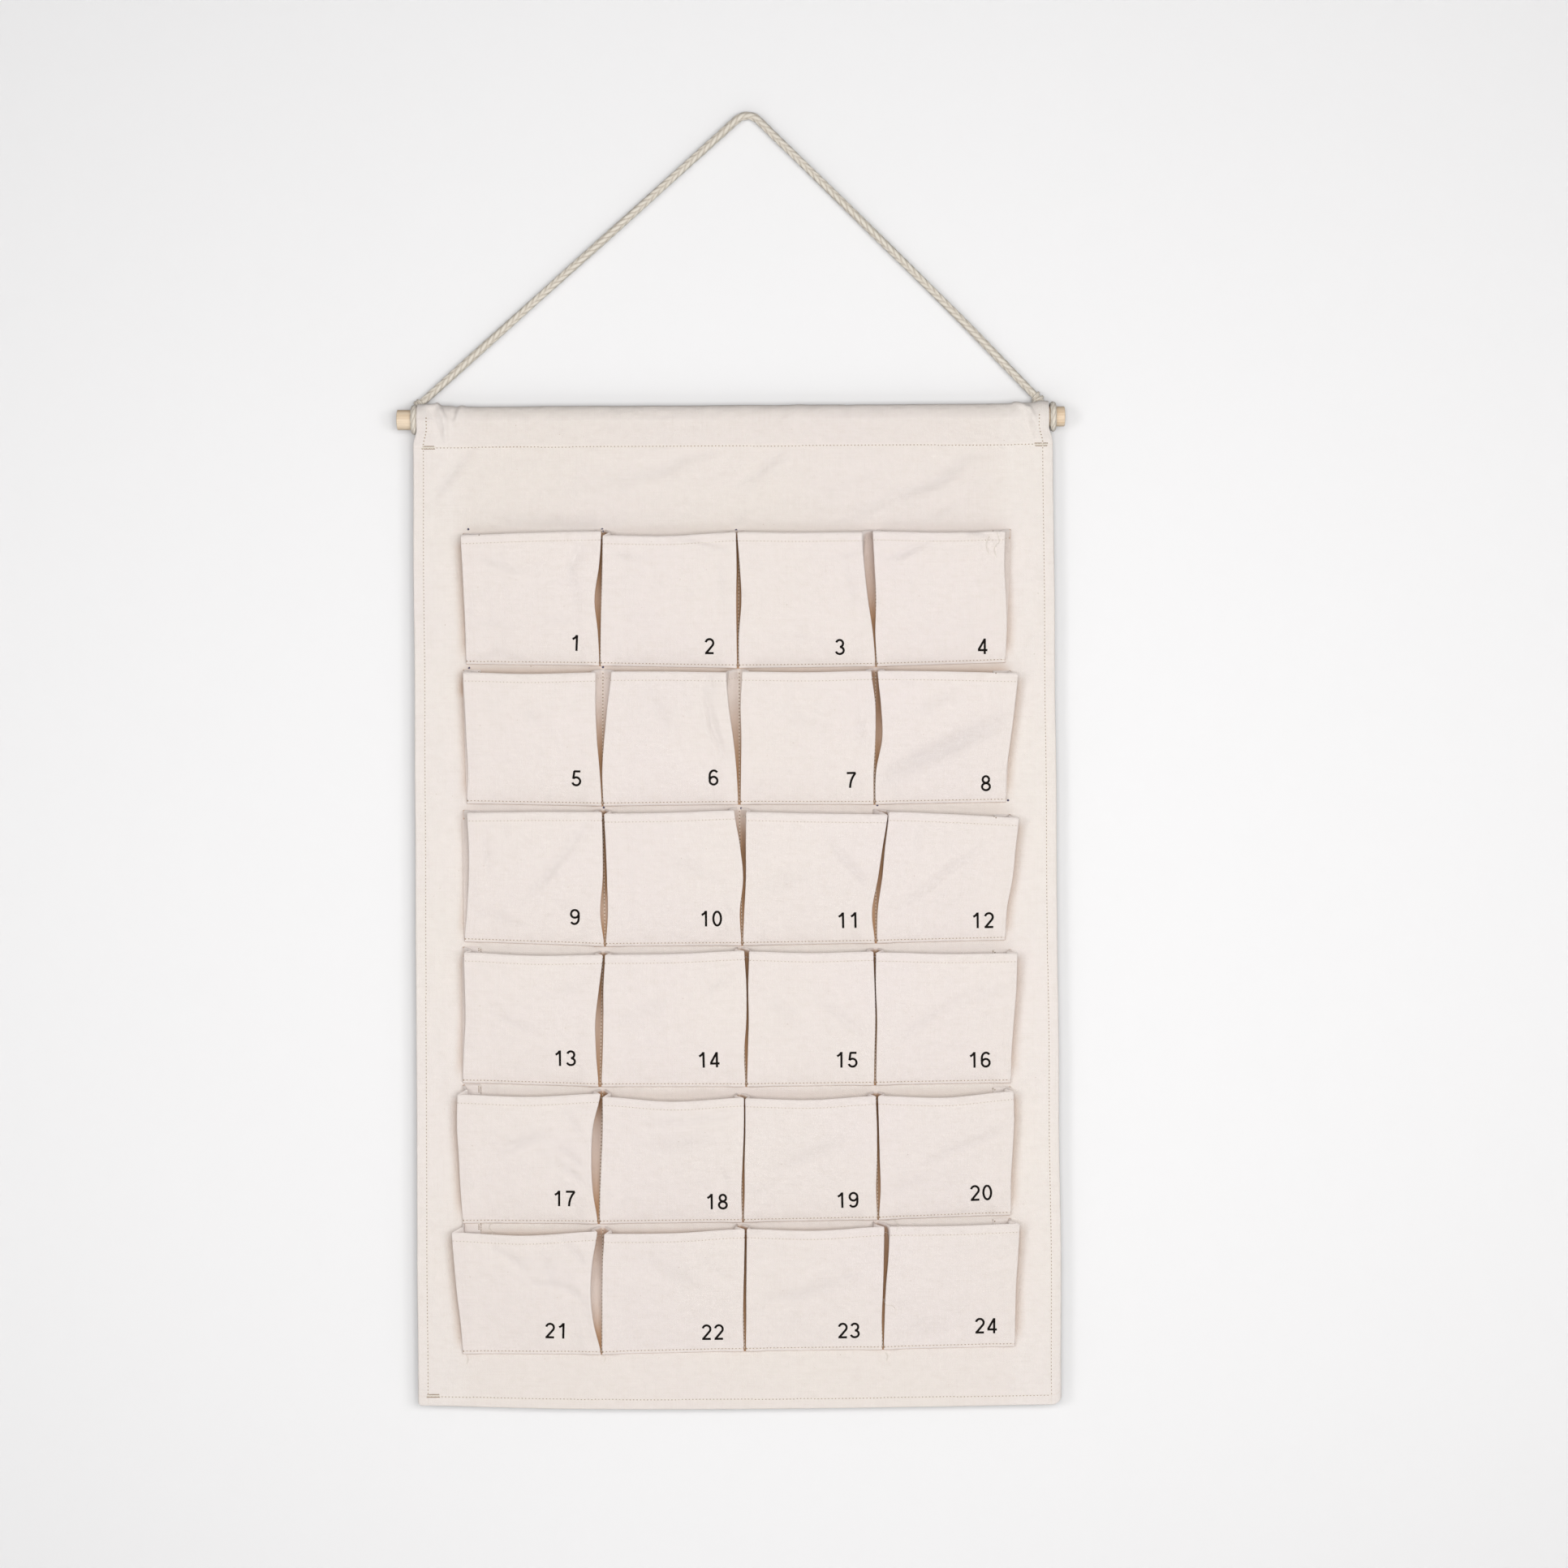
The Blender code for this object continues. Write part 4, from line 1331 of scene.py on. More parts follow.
def sleeve_rows():
    """The sleeve's path after the seam: places in Y and Z and the way out of the tunnel."""
    path = []
    shoulder_z = dowel_z - sleeve_shoulder
    for i in range(1, sleeve_side_rows):
        share = i / sleeve_side_rows
        y = mix(panel_middle_y, dowel_y - sleeve_radius, share**sleeve_bulge_power)
        path.append((y, mix(seam_z, shoulder_z, share), -1.0, 0.0))
    for i in range(sleeve_arc_rows + 1):
        turn = math.pi * i / sleeve_arc_rows
        out_y, out_z = -math.cos(turn), math.sin(turn)
        z = shoulder_z + out_z * (sleeve_radius + sleeve_shoulder + sleeve_room)
        path.append((dowel_y + out_y * sleeve_radius, z, out_y, out_z))
    for i in range(1, sleeve_side_rows + 1):
        share = 1 - i / sleeve_side_rows
        y = mix(panel_middle_y + 2 * hem_ply, dowel_y + sleeve_radius, share**sleeve_bulge_power)
        path.append((y, mix(seam_z, shoulder_z, share), 1.0, 0.0))
    for drop in sleeve_tail_drops:
        path.append((panel_middle_y + 2 * hem_ply, seam_z - drop, 1.0, 0.0))
    return path


def hanging_line(height, back, hem_back):
    """One row of the hanging cloth or of its lower hem."""
    line = []
    width = panel_right - panel_left
    for inset, folded in across_panel():
        share = inset / width
        rise = bottom_rise(max(inset, least_inset), max(width - inset, least_inset))
        z = panel_bottom + height + rise * sag_share(height)
        left, right = side_edges(z)
        x = mix(left, right, share)
        y = panel_middle_y - panel_wave(x, z) - panel_crease(x, z) + back + folded * hem_back * hem_ply
        if back == folded == 0 and in_groove(inset, width, height):
            y += groove_depth
        line.append(Vector((x, y, z)))
    return line


def sleeve_line(y, z, out_y, out_z):
    """One row of the sleeve round the dowel."""
    line = []
    width = panel_right - panel_left
    thick = smooth((z - seam_z + sleeve_ply_start) / sleeve_ply_reach)
    for inset, folded in across_panel():
        left, right = side_edges(z)
        x = mix(left, right, inset / width)
        end = min(inset, width - inset)
        near_end = 1 - smooth((end - side_hem * sleeve_hem_share) / sleeve_hem_fade)
        stand = hem_ply * near_end * (1 if out_y > 0 and thick < 1 else thick)
        crease = 0.0
        if out_y <= sleeve_back_way:
            crease = sleeve_creases(x, z) * smooth((z - seam_z) / sleeve_crease_fade)
        end_lift = sleeve_end_room * math.exp(-(end / sleeve_end_reach) ** 2)
        end_lift *= smooth((z - seam_z) / sleeve_end_fade)
        reach = stand + end_lift + max(crease, -end_lift - sleeve_spare) - folded * hem_ply
        line.append(Vector((x, y + out_y * reach, z + out_z * reach)))
    return line


def mouth_shade(z, mouth_heights):
    """The shade painted on the cloth inside and just above the pockets' mouths."""
    shade = 0.0
    for height, tone in zip(mouth_heights, mouth_shade_tones):
        if height - mouth_shade_drop < z < height + mouth_shade_rise:
            shade = tone * (1 - smooth((z - height) / mouth_shade_rise))
    return shade


def beside_shade(place, outer_fronts):
    """The soft shadow painted on the cloth along the outer side of the first and last pockets."""
    for front in outer_fronts:
        side = 0 if place.x < camera_x else 1
        foot, mouth = front.foot[side], front.mouth[2 * side]
        if foot < place.z < mouth:
            height = (place.z - foot) / (mouth - foot)
            away = abs(front.edge_x(height)[side] - place.x) / beside_reach
            ends = smooth(height * beside_foot_fade_share)
            ends *= smooth((1 - height) * beside_mouth_fade_share)
            if (front.number % columns == 1) == (side == 0):
                return beside_shadow_tone * ends * (1 - smooth(away))
    return 0.0


def panel_shade(inset, place, height, mouth_heights, outer_fronts):
    """How deep the painted shade is at a place of the hanging cloth."""
    width = panel_right - panel_left
    within = smooth((min(inset, width - inset) - margin_start) / (margin_end - margin_start))
    shade = within * mouth_shade(place.z, mouth_heights)
    shade += hollow_tone(panel_crease(place.x, place.z))
    shade += beside_shade(place, outer_fronts)
    return shade + (groove_shade if in_groove(inset, width, height) else 0.0)


def make_panel(canvas):
    """One sheet from the lower hem, up the front, over the dowel and down to its seam."""
    grid = [hanging_line(*row) for row in bottom_hem_rows()]
    shades = [[0.0] * len(grid[0]) for line in grid]
    insets = [inset for inset, folded in across_panel()]
    mouth_heights = [from_photo(panel_middle_pixel, mouth_lines[row * columns][1], panel_front).z
                     for row in range(rows)]
    outer_fronts = [Front(row, column) for row in range(rows) for column in (0, columns - 1)]
    for height in front_row_heights():
        near_hem = 1 - smooth((height - hem_step_start) / hem_step_reach)
        line = hanging_line(height, 0.0, 1.0 + hem_step_share * near_hem)
        grid.append(line)
        shades.append([panel_shade(inset, point, height, mouth_heights, outer_fronts)
                       for inset, point in zip(insets, line)])
    for row in sleeve_rows():
        grid.append(sleeve_line(*row))
        # Painted shade over the sleeve's front, fading to none on its top
        shades.append([sleeve_shade_tone * (1 - smooth(row[3]))] * len(grid[0]))
    mesh = cloth_mesh("panel_cloth", grid, shades, measured_row, len(grid[0]) // 2, 0.0)
    piece = add_piece("panel_cloth", mesh, canvas, "panel")
    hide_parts("backing_panel", "rod_sleeve")
    return piece


# Pocket strips

# How finely a strip is drawn, and how round its folds are
front_points = 60
corner_radius = 0.0013
fold_radius = 0.0010
flat_reach = 0.0100
strip_height_steps = 36

# The fronts: how full they are at the mouth, and how uneven
front_start_share = 2.2
crease_side_rate = 3
wrinkle_side_rate = 2
mouth_belly = 0.0010
wrinkle_end_share = 0.3
front_seed = 20
seed_gap = 40
soft_size = 0.040
soft_wrinkle = 0.00080
small_size = 0.016
small_wrinkle = 0.00026
wrinkle_foot_share = 0.08
pucker_size = 0.0050
pucker_height = 0.00016
pucker_place_share = 0.055
pucker_reach_share = 0.045

# The seams' floor and the folded walls
floor_stand = 0.00045
floor_step = 0.0007
floor_step_share = 0.06
least_square = 1e-8
least_reach_square = 4e-8
inside_reach = 0.004
seam_inset = 0.0008
floor_reach = 0.0012
floor_bend = 0.0006
floor_bend_steps = 3
fold_steps = 5
corner_steps = 6
floor_way_share = 0.06
inner_ply_shares = (0.30, 0.55)
outer_ply_shares = (0.40, 0.68)
outer_seam_inset = 0.0006
outer_floor_half = 0.0002
outer_floor_depth = 0.00115
least_foot_depth = 0.00036

# Rows of the upper hem below the mouth and of the foot above the lower edge
hem_drops = (0.0084, 0.0070, 0.0060, 0.0050, 0.0032, 0.0016, hem_roll_radius)
foot_rises = (hem_roll_radius, 0.0012, 0.0020, 0.0028, 0.0044)
foot_groove_row = 2
# Painted shade in the foot's stitch groove
foot_groove_shade = 0.22
# Painted shadow along the foot's lower edge
foot_edge_shadow = 0.50
hem_groove_row = -5
left_end_rises = (0.0024, 0.0024, 0.0020, 0.0036, 0.0062, 0.0060)

# Painted shade: over the fronts, on the raw ends and in the fold where they turn, and in the hollows over
# narrow and wide seams
front_shade_tone = 0.050
flange_shade = 0.03
turn_shade = 0.85
turn_share = 0.01
narrow_gap = 0.0020
wide_gap = 0.0105
narrow_gap_shade = 0.95
wide_gap_shade = 0.15
hollow_fade = 0.0024
hollow_start_way = 0.55
hollow_way_share = 0.42


class Front:
    """One pocket's front, placed as the photograph shows it."""

    def __init__(self, row, column):
        self.number = row * columns + column + 1
        left, right = front_edges[self.number - 1]
        mouth = mouth_lines[self.number - 1]
        foot = foot_lines[row][column:column + 2]
        self.left = self.read_edge(left, mouth[0], foot[0])
        self.right = self.read_edge(right, mouth[2], foot[1])
        middle_x = (left[0] + right[0]) / 2
        corners = ((left[0], mouth[0]), (middle_x, mouth[1]), (right[0], mouth[2]))
        mouth_y = panel_front - mouth_depth
        self.mouth = [from_photo(x, y, mouth_y).z for x, y in corners]
        foot_y = panel_front - foot_depth
        self.foot = [from_photo(left[4], foot[0], foot_y).z, from_photo(right[4], foot[1], foot_y).z]
        self.creases = crease_places(front_creases[self.number], panel_front - mouth_depth / 2)

    def read_edge(self, pixels, mouth_pixel, foot_pixel):
        """X of one edge from foot to mouth."""
        edge = []
        for i, pixel in enumerate(reversed(pixels)):
            height = i / (len(pixels) - 1)
            y = panel_front - corner_depth(height)
            edge.append(from_photo(pixel, mix(foot_pixel, mouth_pixel, height), y).x)
        return edge

    def edge_x(self, height):
        """X of the left and right corner at a height from foot (0) to mouth (1)."""
        return through(self.left, height), through(self.right, height)

    def z_at(self, across, height):
        """Height in the model of a place on the front."""
        return mix(mix(*self.foot, across), through(self.mouth, across), height)

    def depth_at(self, across, height):
        """How far a place on the front stands off the panel, and how deep the grey shade painted in its
        crease hollows is.
        """
        left, right = self.edge_x(height)
        width = right - left
        inside = min(across, 1 - across) * width
        rest = mix(foot_rest_depth, mouth_depth, height)
        depth = mix(corner_depth(height), rest, smooth((inside - fold_reach(height)) / flat_reach))
        round_across = math.sin(math.pi * min(1.0, max(0.0, across)))
        depth += front_belly * math.sin(math.pi * height) * round_across
        depth += mouth_belly * height**3 * round_across
        x, z = mix(left, right, across), self.z_at(across, height)
        fullness = min(1.0, wrinkle_end_share + wrinkle_side_rate * round_across)
        depth += front_wrinkles(self.number, x, z, height) * fullness
        lift = crease_lift(x, z, self.creases) * min(1.0, crease_side_rate * round_across)
        return depth + lift, hollow_tone(lift)


def corner_depth(height):
    """How far a pocket's front corners stand off the panel."""
    return mix(foot_depth, mouth_depth, height)


def floor_depth(height):
    """The seam lies on the panel, above the turned-in foot at its lower end."""
    return floor_stand + floor_step * (1 - smooth(height / floor_step_share))


def fold_reach(height):
    """How far the folded wall reaches in behind the front."""
    rise = corner_depth(height) - floor_depth(height)
    return math.sqrt(max((wall_length / 2) ** 2 - (rise / 2) ** 2, least_square))


def front_wrinkles(number, x, z, height):
    """Soft unevenness of one front, with small puckers above its sewn foot."""
    seed = front_seed + number
    soft = rough(x, z, soft_size, seed) * soft_wrinkle
    soft += rough(x, z, small_size, seed + seed_gap) * small_wrinkle
    soft *= smooth(height / wrinkle_foot_share)
    pucker = rough(x, 0, pucker_size, seed + 2 * seed_gap) * pucker_height
    return soft + pucker * bump_at(height, pucker_place_share, pucker_reach_share)


def bend(before, corner, after, radius, steps):
    """Points round a soft corner of a path."""
    back, ahead = before - corner, after - corner
    start = corner + back * min(bend_share, radius / max(back.length, least_span))
    end = corner + ahead * min(bend_share, radius / max(ahead.length, least_span))
    turn = []
    for step in range(steps + 1):
        t = step / steps
        turn.append(start * (1 - t) ** 2 + corner * (2 * t * (1 - t)) + end * t**2)
    return turn


def wall_path(floor_end, corner, inward):
    """The folded wall from its seam to its front corner: places, and shares of the way."""
    chord = corner - floor_end
    reach = math.sqrt(max((wall_length / 2) ** 2 - (chord.length / 2) ** 2, least_reach_square))
    fold = (floor_end + corner) / 2 + Vector((inward * reach, 0))
    inside_front = corner + Vector((inward * inside_reach, 0))
    path = [(floor_end + Vector((-inward * seam_inset, 0)), 0.0)]
    before = floor_end - Vector((inward * floor_reach, 0))
    start = bend(before, floor_end, fold, floor_bend, floor_bend_steps)
    path += [(point, floor_way_share) for point in start]
    path += [(mix(floor_end, fold, share), 0.5 * share) for share in inner_ply_shares]
    path += [(point, 0.5) for point in bend(floor_end, fold, corner, fold_radius, fold_steps)]
    path += [(mix(fold, corner, share), 0.5 + 0.5 * share) for share in outer_ply_shares]
    turn = bend(fold, corner, inside_front, corner_radius, corner_steps)
    path += [(point, 1.0) for point in turn]
    return path


# The raw end's inset and depth along the flange, and round its turn at the seam
flange_places = ((flange_length, 0.00045), (0.0085, 0.00045), (0.0040, 0.00045), (0.0016, 0.00046))
flange_turn = ((0.0009, 0.00047), (0.0003, 0.00062), (-0.0001, 0.00090))


def flange_path(seam_x, inward):
    """The strip's raw end, turned in flat behind the pocket, up to the foot of its wall."""
    path = []
    for places, share in ((flange_places, 0.0), (flange_turn, turn_share)):
        for inset, depth in places:
            path.append((Vector((seam_x + inward * inset, depth)), share))
    return path


class Strip:
    """One row's strip of canvas, folded into four pockets."""

    def __init__(self, row):
        self.row = row
        self.fronts = [Front(row, column) for column in range(columns)]
        self.feet = self.seam_feet()
        self.tops = [from_photo(pixel, mouth_lines[row * columns][0], panel_front).x
                     for pixel in seam_tops]
        self.seam_columns = []

    def seam_feet(self):
        """X of the five seams at the strip's lower edge, between the pockets' corners."""
        feet = [self.fronts[0].left[0] + outer_seam_inset]
        for one, other in zip(self.fronts, self.fronts[1:]):
            feet.append((one.right[0] + other.left[0]) / 2)
        feet.append(self.fronts[-1].right[0] - outer_seam_inset)
        return feet

    def seam_x(self, seam, height):
        """X of a seam at a height from its lower end (0) to its upper end (1)."""
        return mix(self.feet[seam], self.tops[seam], height)

    def seam_z(self, seam, height):
        """Height in the model of a place on a seam, which ends above the mouths."""
        before, after = self.fronts[:seam][-1:], self.fronts[seam:][:1]
        feet = [front.foot[1] for front in before] + [front.foot[0] for front in after]
        sides = [front.mouth[2] for front in before] + [front.mouth[0] for front in after]
        rise = left_end_rises[self.row] if seam == 0 else seam_top_rise
        return mix((feet[0] + feet[-1]) / 2, max(sides) + rise, height)

    def side(self, column, inward, height):
        """One wall of one pocket, from the seam's middle or raw end to the front."""
        seam = column if inward > 0 else column + 1
        front = self.fronts[column]
        left, right = front.edge_x(height)
        corner_x = left if inward > 0 else right
        seam_x, base = self.seam_x(seam, height), floor_depth(height)
        outer = seam in (0, columns)
        floor_end = Vector((seam_x + inward * (outer_floor_half if outer else seam_floor_half), base))
        if outer:
            floor_end.y = outer_floor_depth
        corner = Vector((corner_x, corner_depth(height)))
        wall = wall_path(floor_end, corner, inward)
        if outer:
            wall = flange_path(seam_x, inward) + wall[1:]
        seam_z = self.seam_z(seam, height)
        corner_z = front.z_at(0 if inward > 0 else 1, height)
        valley_shade = self.hollow_shade(seam, height)
        points = []
        for place, share in wall:
            z = mix(seam_z, corner_z, share)
            # Painted shade: a little on the flat raw end, deep in the fold where it turns, and in the
            # hollow over the seam
            if outer and share == 0:
                shade = flange_shade
            elif outer and share <= turn_share:
                shade = turn_shade
            else:
                shade = valley_shade * (1 - smooth((share - hollow_start_way) / hollow_way_share))
            points.append((place, z, shade))
        return points

    def hollow_shade(self, seam, height):
        """How deep the painted shade is in the hollow over a seam: deeper where it is narrow."""
        gap = wide_gap
        if 0 < seam < columns:
            gap = self.fronts[seam].edge_x(height)[0] - self.fronts[seam - 1].edge_x(height)[1]
        narrow = 1 - smooth((gap - narrow_gap) / (wide_gap - narrow_gap))
        open_end = smooth((1 - height) * self.flat_height() / hollow_fade)
        return mix(wide_gap_shade, narrow_gap_shade, narrow) * open_end

    def front_line(self, column, height):
        """The cloth between one pocket's two corners."""
        front = self.fronts[column]
        left, right = front.edge_x(height)
        start = front_start_share * corner_radius / (right - left)
        points = []
        for i in range(front_points):
            across = mix(start, 1 - start, i / (front_points - 1))
            depth, tone = front.depth_at(across, height)
            points.append((Vector((mix(left, right, across), depth)), front.z_at(across, height), tone))
        return points

    def line(self, height):
        """The whole strip at one height: places in X and depth, Z and the fold's painted shade."""
        points = []
        for column in range(columns):
            points += self.side(column, 1, height)
            points += self.front_line(column, height)
            points += self.side(column, -1, height)[::-1]
            if column < columns - 1:
                seam = column + 1
                if len(self.seam_columns) < columns - 1:
                    self.seam_columns.append(len(points))
                place = Vector((self.seam_x(seam, height), floor_depth(height)))
                points.append((place, self.seam_z(seam, height), self.hollow_shade(seam, height)))
        return points

    def flat_height(self):
        """The pocket's height from foot to mouth, at its middle."""
        return self.fronts[0].z_at(0.5, 1) - self.fronts[0].z_at(0.5, 0)

    def main_heights(self):
        """Shares of the height at which the strip is drawn, closer at its foot and hem."""
        tall = self.flat_height()
        low, high = foot_rises[-1] / tall, 1 - hem_drops[0] / tall
        heights = [rise / tall for rise in foot_rises[:-1]]
        heights += [mix(low, high, i / strip_height_steps) for i in range(strip_height_steps)]
        return heights + [1 - drop / tall for drop in hem_drops]

    def grid(self):
        """Rows from the turned-in foot, up the strip, over the hem and down its inside."""
        grid, shades = [], []
        for height in self.main_heights():
            line, shade = [], []
            for place, z, dark in self.line(height):
                y = panel_front - panel_wave(place.x, z) - place.y
                line.append(Vector((place.x, y, z)))
                shade.append(dark)
            grid.append(line)
            shades.append(shade)
        normals = grid_normals(grid)
        # Painted shade along the stitch grooves of the foot and the hem
        for row, tone in ((foot_groove_row, foot_groove_shade), (hem_groove_row, groove_shade)):
            grid[row] = [point - way * groove_depth for point, way in zip(grid[row], normals[row])]
            shades[row] = [min(1.0, shade + tone) for shade in shades[row]]
        self.rows_kept, self.normals_kept = grid, normals
        foot, foot_shades = self.foot_rows(grid, shades)
        hem, hem_shades = self.hem_rows(grid, normals, shades)
        return foot + grid + hem, foot_shades + shades + hem_shades

    def foot_rows(self, grid, shades):
        """The raw lower edge, turned in behind the strip and sewn down."""
        rows_here = []
        for source in (2, 1, 0):
            line = []
            for point in grid[source]:
                front = panel_front - panel_wave(point.x, point.z)
                depth = max(least_foot_depth, front - point.y - hem_ply)
                line.append(Vector((point.x, front - depth, point.z)))
            rows_here.append(line)
        low, high = rows_here[-1], grid[0]
        middle = [mix(a, b, 0.5) - Vector((0, 0, hem_roll_radius)) for a, b in zip(low, high)]
        rows_here.append(middle)
        # The foot's rows carry a painted shadow line along the strip's lower edge
        return rows_here, [[max(shade, foot_edge_shadow) for shade in shades[0]]] * len(rows_here)

    def hem_rows(self, grid, normals, shades):
        """The mouth's edge, folded to the inside of the pockets."""
        top = len(grid) - 1
        crest = []
        for point, normal in zip(grid[top], normals[top]):
            crest.append(point - normal * hem_ply / 2 + Vector((0, 0, hem_roll_radius)))
        rows_here = [crest]
        for step in range(len(hem_drops) - 1):
            source = top - step
            rows_here.append([p - n * hem_ply for p, n in zip(grid[source], normals[source])])
        return rows_here, [shades[top]] * len(rows_here)


def make_strip(row, canvas):
    """One strip as a piece, on the panel's body."""
    strip = Strip(row)
    grid, shades = strip.grid()
    name = f"row_{row + 1}_strip"
    middle = len(grid[0]) // (2 * columns)
    mesh = cloth_mesh(name, grid, shades, len(grid) // 2, middle)
    piece = add_piece(name, mesh, canvas, "panel")
    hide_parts(*[f"pocket_{front.number:02d}" for front in strip.fronts])
    strip.piece = piece
    return strip


# Thread

stitch_pitch = 0.0026
stitch_gap = 0.00028
thread_radius = 0.00019
stitch_dip = 0.00012
stitch_arch = 0.00030
hole_radius = 0.00056
fine_hole_radius = 0.00032
stitch_sides = 6
stitch_lean = 0.00014
needle_start_y = -0.2

# A stitch's places and a hole's heights, each with its share of the radius
stitch_form_shares = ((0.0, 0.6), (0.22, 1.0), (0.5, 1.05), (0.78, 1.0), (1.0, 0.6))
hole_form = ((-0.00012, 0.8), (0.00002, 1.0), (0.00004, 0.5))

# Bar tacks
tack_thread_share = 0.9
tack_half_width = 0.0009
tack_pitch = 0.00045
tack_inset = 0.0065
tack_length = 0.0095

# Rows of stitches: where they start, how they wander and how finely they are followed
seam_wander_size = 0.05
seam_wander = 0.0004
side_seam_start = 0.003
side_seam_share = 0.35
side_seam_steps = 200
bottom_seam_steps = 80
foot_seam_steps = 59
foot_seam_start_share = 0.008
foot_stitch_rise = foot_rises[foot_groove_row]

# The oversewn raw ends of the strips
end_tack_spare = 0.0004
end_tack_least = 0.0015
end_tack_inset = 0.0006
end_tack_half_width = 0.0006
end_tack_pitch = 0.0007

front_way = Vector((0, -1, 0))
needle_way = Vector((0, 1, 0))
chance = random.Random(24)


def surface_of(pieces):
    """The faces that a needle or a stamp meets from the front."""
    vertices, faces = [], []
    for piece in pieces:
        start = len(vertices)
        vertices += [vertex.co for vertex in piece.data.vertices]
        faces += [[start + i for i in face.vertices] for face in piece.data.polygons]
    return BVHTree.FromPolygons(vertices, faces)


def touch(surface, x, z):
    """The first place that a point pushed from the front meets, and the way out of it."""
    place, way, _, _ = surface.ray_cast(Vector((x, needle_start_y, z)), needle_way)
    if place is None:
        return Vector((x, panel_front, z)), front_way
    return place, (way if way.y < 0 else -way)


def ring_round(centre, along, out, radius, sides=stitch_sides):
    """A ring of points round a thread."""
    across = along.cross(out).normalized()
    up = across.cross(along).normalized()
    turns = [2 * math.pi * k / sides for k in range(sides)]
    return [centre + (across * math.cos(t) + up * math.sin(t)) * radius for t in turns]


def stitch(tubes, start, end, out, radius=thread_radius):
    """One stitch that rises from its first hole and dips into the next."""
    along = (end - start).normalized()
    rings = []
    for t, fullness in stitch_form_shares:
        centre = mix(start, end, t) + out * (stitch_arch * math.sin(math.pi * t) - stitch_dip)
        rings.append(ring_round(centre, along, out, radius * fullness))
    tubes.add(rings)


def needle_hole(tubes, place, along, out, radius):
    """One small dark plug, painted as the shade in a puncture between two stitches."""
    across = along.cross(out).normalized()
    rings = []
    for depth, share in hole_form:
        rings.append(ring_round(place + out * depth, out, across, radius * share))
    tubes.add(rings, kind=1)


def sew(tubes, line, ways, puncture=hole_radius):
    """A row of stitches along places on the cloth, with the ways out of the cloth there."""
    lengths = running_lengths(line)
    count = max(1, round(lengths[-1] / stitch_pitch))
    spots, outs, i = [], [], 0
    for step in range(count + 1):
        target = lengths[-1] * step / count
        while i < len(line) - 2 and lengths[i + 1] < target:
            i += 1
        share = (target - lengths[i]) / max(lengths[i + 1] - lengths[i], least_span)
        spots.append(mix(line[i], line[i + 1], share))
        outs.append(mix(ways[i], ways[i + 1], share).normalized())
    for here, there, out in zip(spots, spots[1:], outs):
        along = (there - here).normalized()
        lean = along.cross(out) * chance.uniform(-stitch_lean, stitch_lean)
        stitch(tubes, here + along * stitch_gap + lean, there - along * stitch_gap - lean, out)
        needle_hole(tubes, here, along, out, puncture)


def sew_across(tubes, surface, points):
    """Stitches on whatever the needle meets below the given places in X and Z."""
    spots = evenly([Vector((x, 0, z)) for x, z in points], stitch_pitch / 2)
    found = [touch(surface, spot.x, spot.z) for spot in spots]
    sew(tubes, [place for place, _ in found], [way for _, way in found])


def bar_tack(tubes, surface, start, end, half_width=tack_half_width, pitch=tack_pitch):
    """A short bar of close zigzag stitches."""
    spots = evenly([start, end], pitch)
    way = (end - start).normalized()
    across = Vector((-way.z, 0, way.x)) * half_width
    for i, spot in enumerate(spots[:-1]):
        side = 1 if i % 2 else -1
        first, second = spot + across * side, spots[i + 1] - across * side
        one, out = touch(surface, first.x, first.z)
        other, _ = touch(surface, second.x, second.z)
        stitch(tubes, one, other, out, thread_radius * tack_thread_share)
        needle_hole(tubes, one, way, out, hole_radius)


def make_panel_thread(surface, thread, hole):
    """The hems' stitches, the sleeve's seam and the bar tacks."""
    tubes = Tubes()
    top = dowel_z + dowel_radius * side_seam_share
    low = panel_bottom + bottom_stitch_rise
    steps = range(side_seam_steps + 1)
    heights = [mix(low + side_seam_start, top, i / side_seam_steps) for i in steps]
    for side in (0, 1):
        inset = side_stitch_inset * (1 - 2 * side)
        sew_across(tubes, surface, [(side_edges(z)[side] + inset, z) for z in heights])
    left, right = side_edges(low)
    first, last = left + side_stitch_inset, right - side_stitch_inset
    inner = [mix(first, last, i / bottom_seam_steps) for i in range(bottom_seam_steps + 1)]
    sag = sag_share(bottom_stitch_rise)
    sew_across(tubes, surface, [(x, low + bottom_rise(x - left, right - x) * sag) for x in inner])
    seam = seam_z - sleeve_stitch_drop
    wander = [rough(x, 0, seam_wander_size, 7) * seam_wander for x in inner]
    sew_across(tubes, surface, [(x, seam + rise) for x, rise in zip(inner, wander)])
    for start_x, way in ((left + tack_inset, 1), (right - tack_inset, -1)):
        start = Vector((start_x, 0, seam))
        bar_tack(tubes, surface, start, start + Vector((way * tack_length, 0, 0)))
    corner = Vector((left + tack_inset, 0, low + bottom_rise(tack_inset, right - left)))
    bar_tack(tubes, surface, corner, corner + Vector((tack_length, 0, 0)))
    piece = add_piece("panel_thread", tubes.mesh("panel_thread"), thread, "panel")
    piece.data.materials.append(hole)


def overlock_end(tubes, surface, strip, column, inward):
    """The oversewn raw end of a strip, where it shows above an outer pocket's mouth."""
    seam = 0 if inward > 0 else columns
    low = strip.fronts[column].mouth[0 if inward > 0 else 2] + end_tack_spare
    high = strip.seam_z(seam, 1) - end_tack_spare
    if high - low > end_tack_least:
        x = strip.seam_x(seam, 1) + inward * (flange_length - end_tack_inset)
        ends = Vector((x, 0, low)), Vector((x, 0, high))
        bar_tack(tubes, surface, *ends, end_tack_half_width, end_tack_pitch)


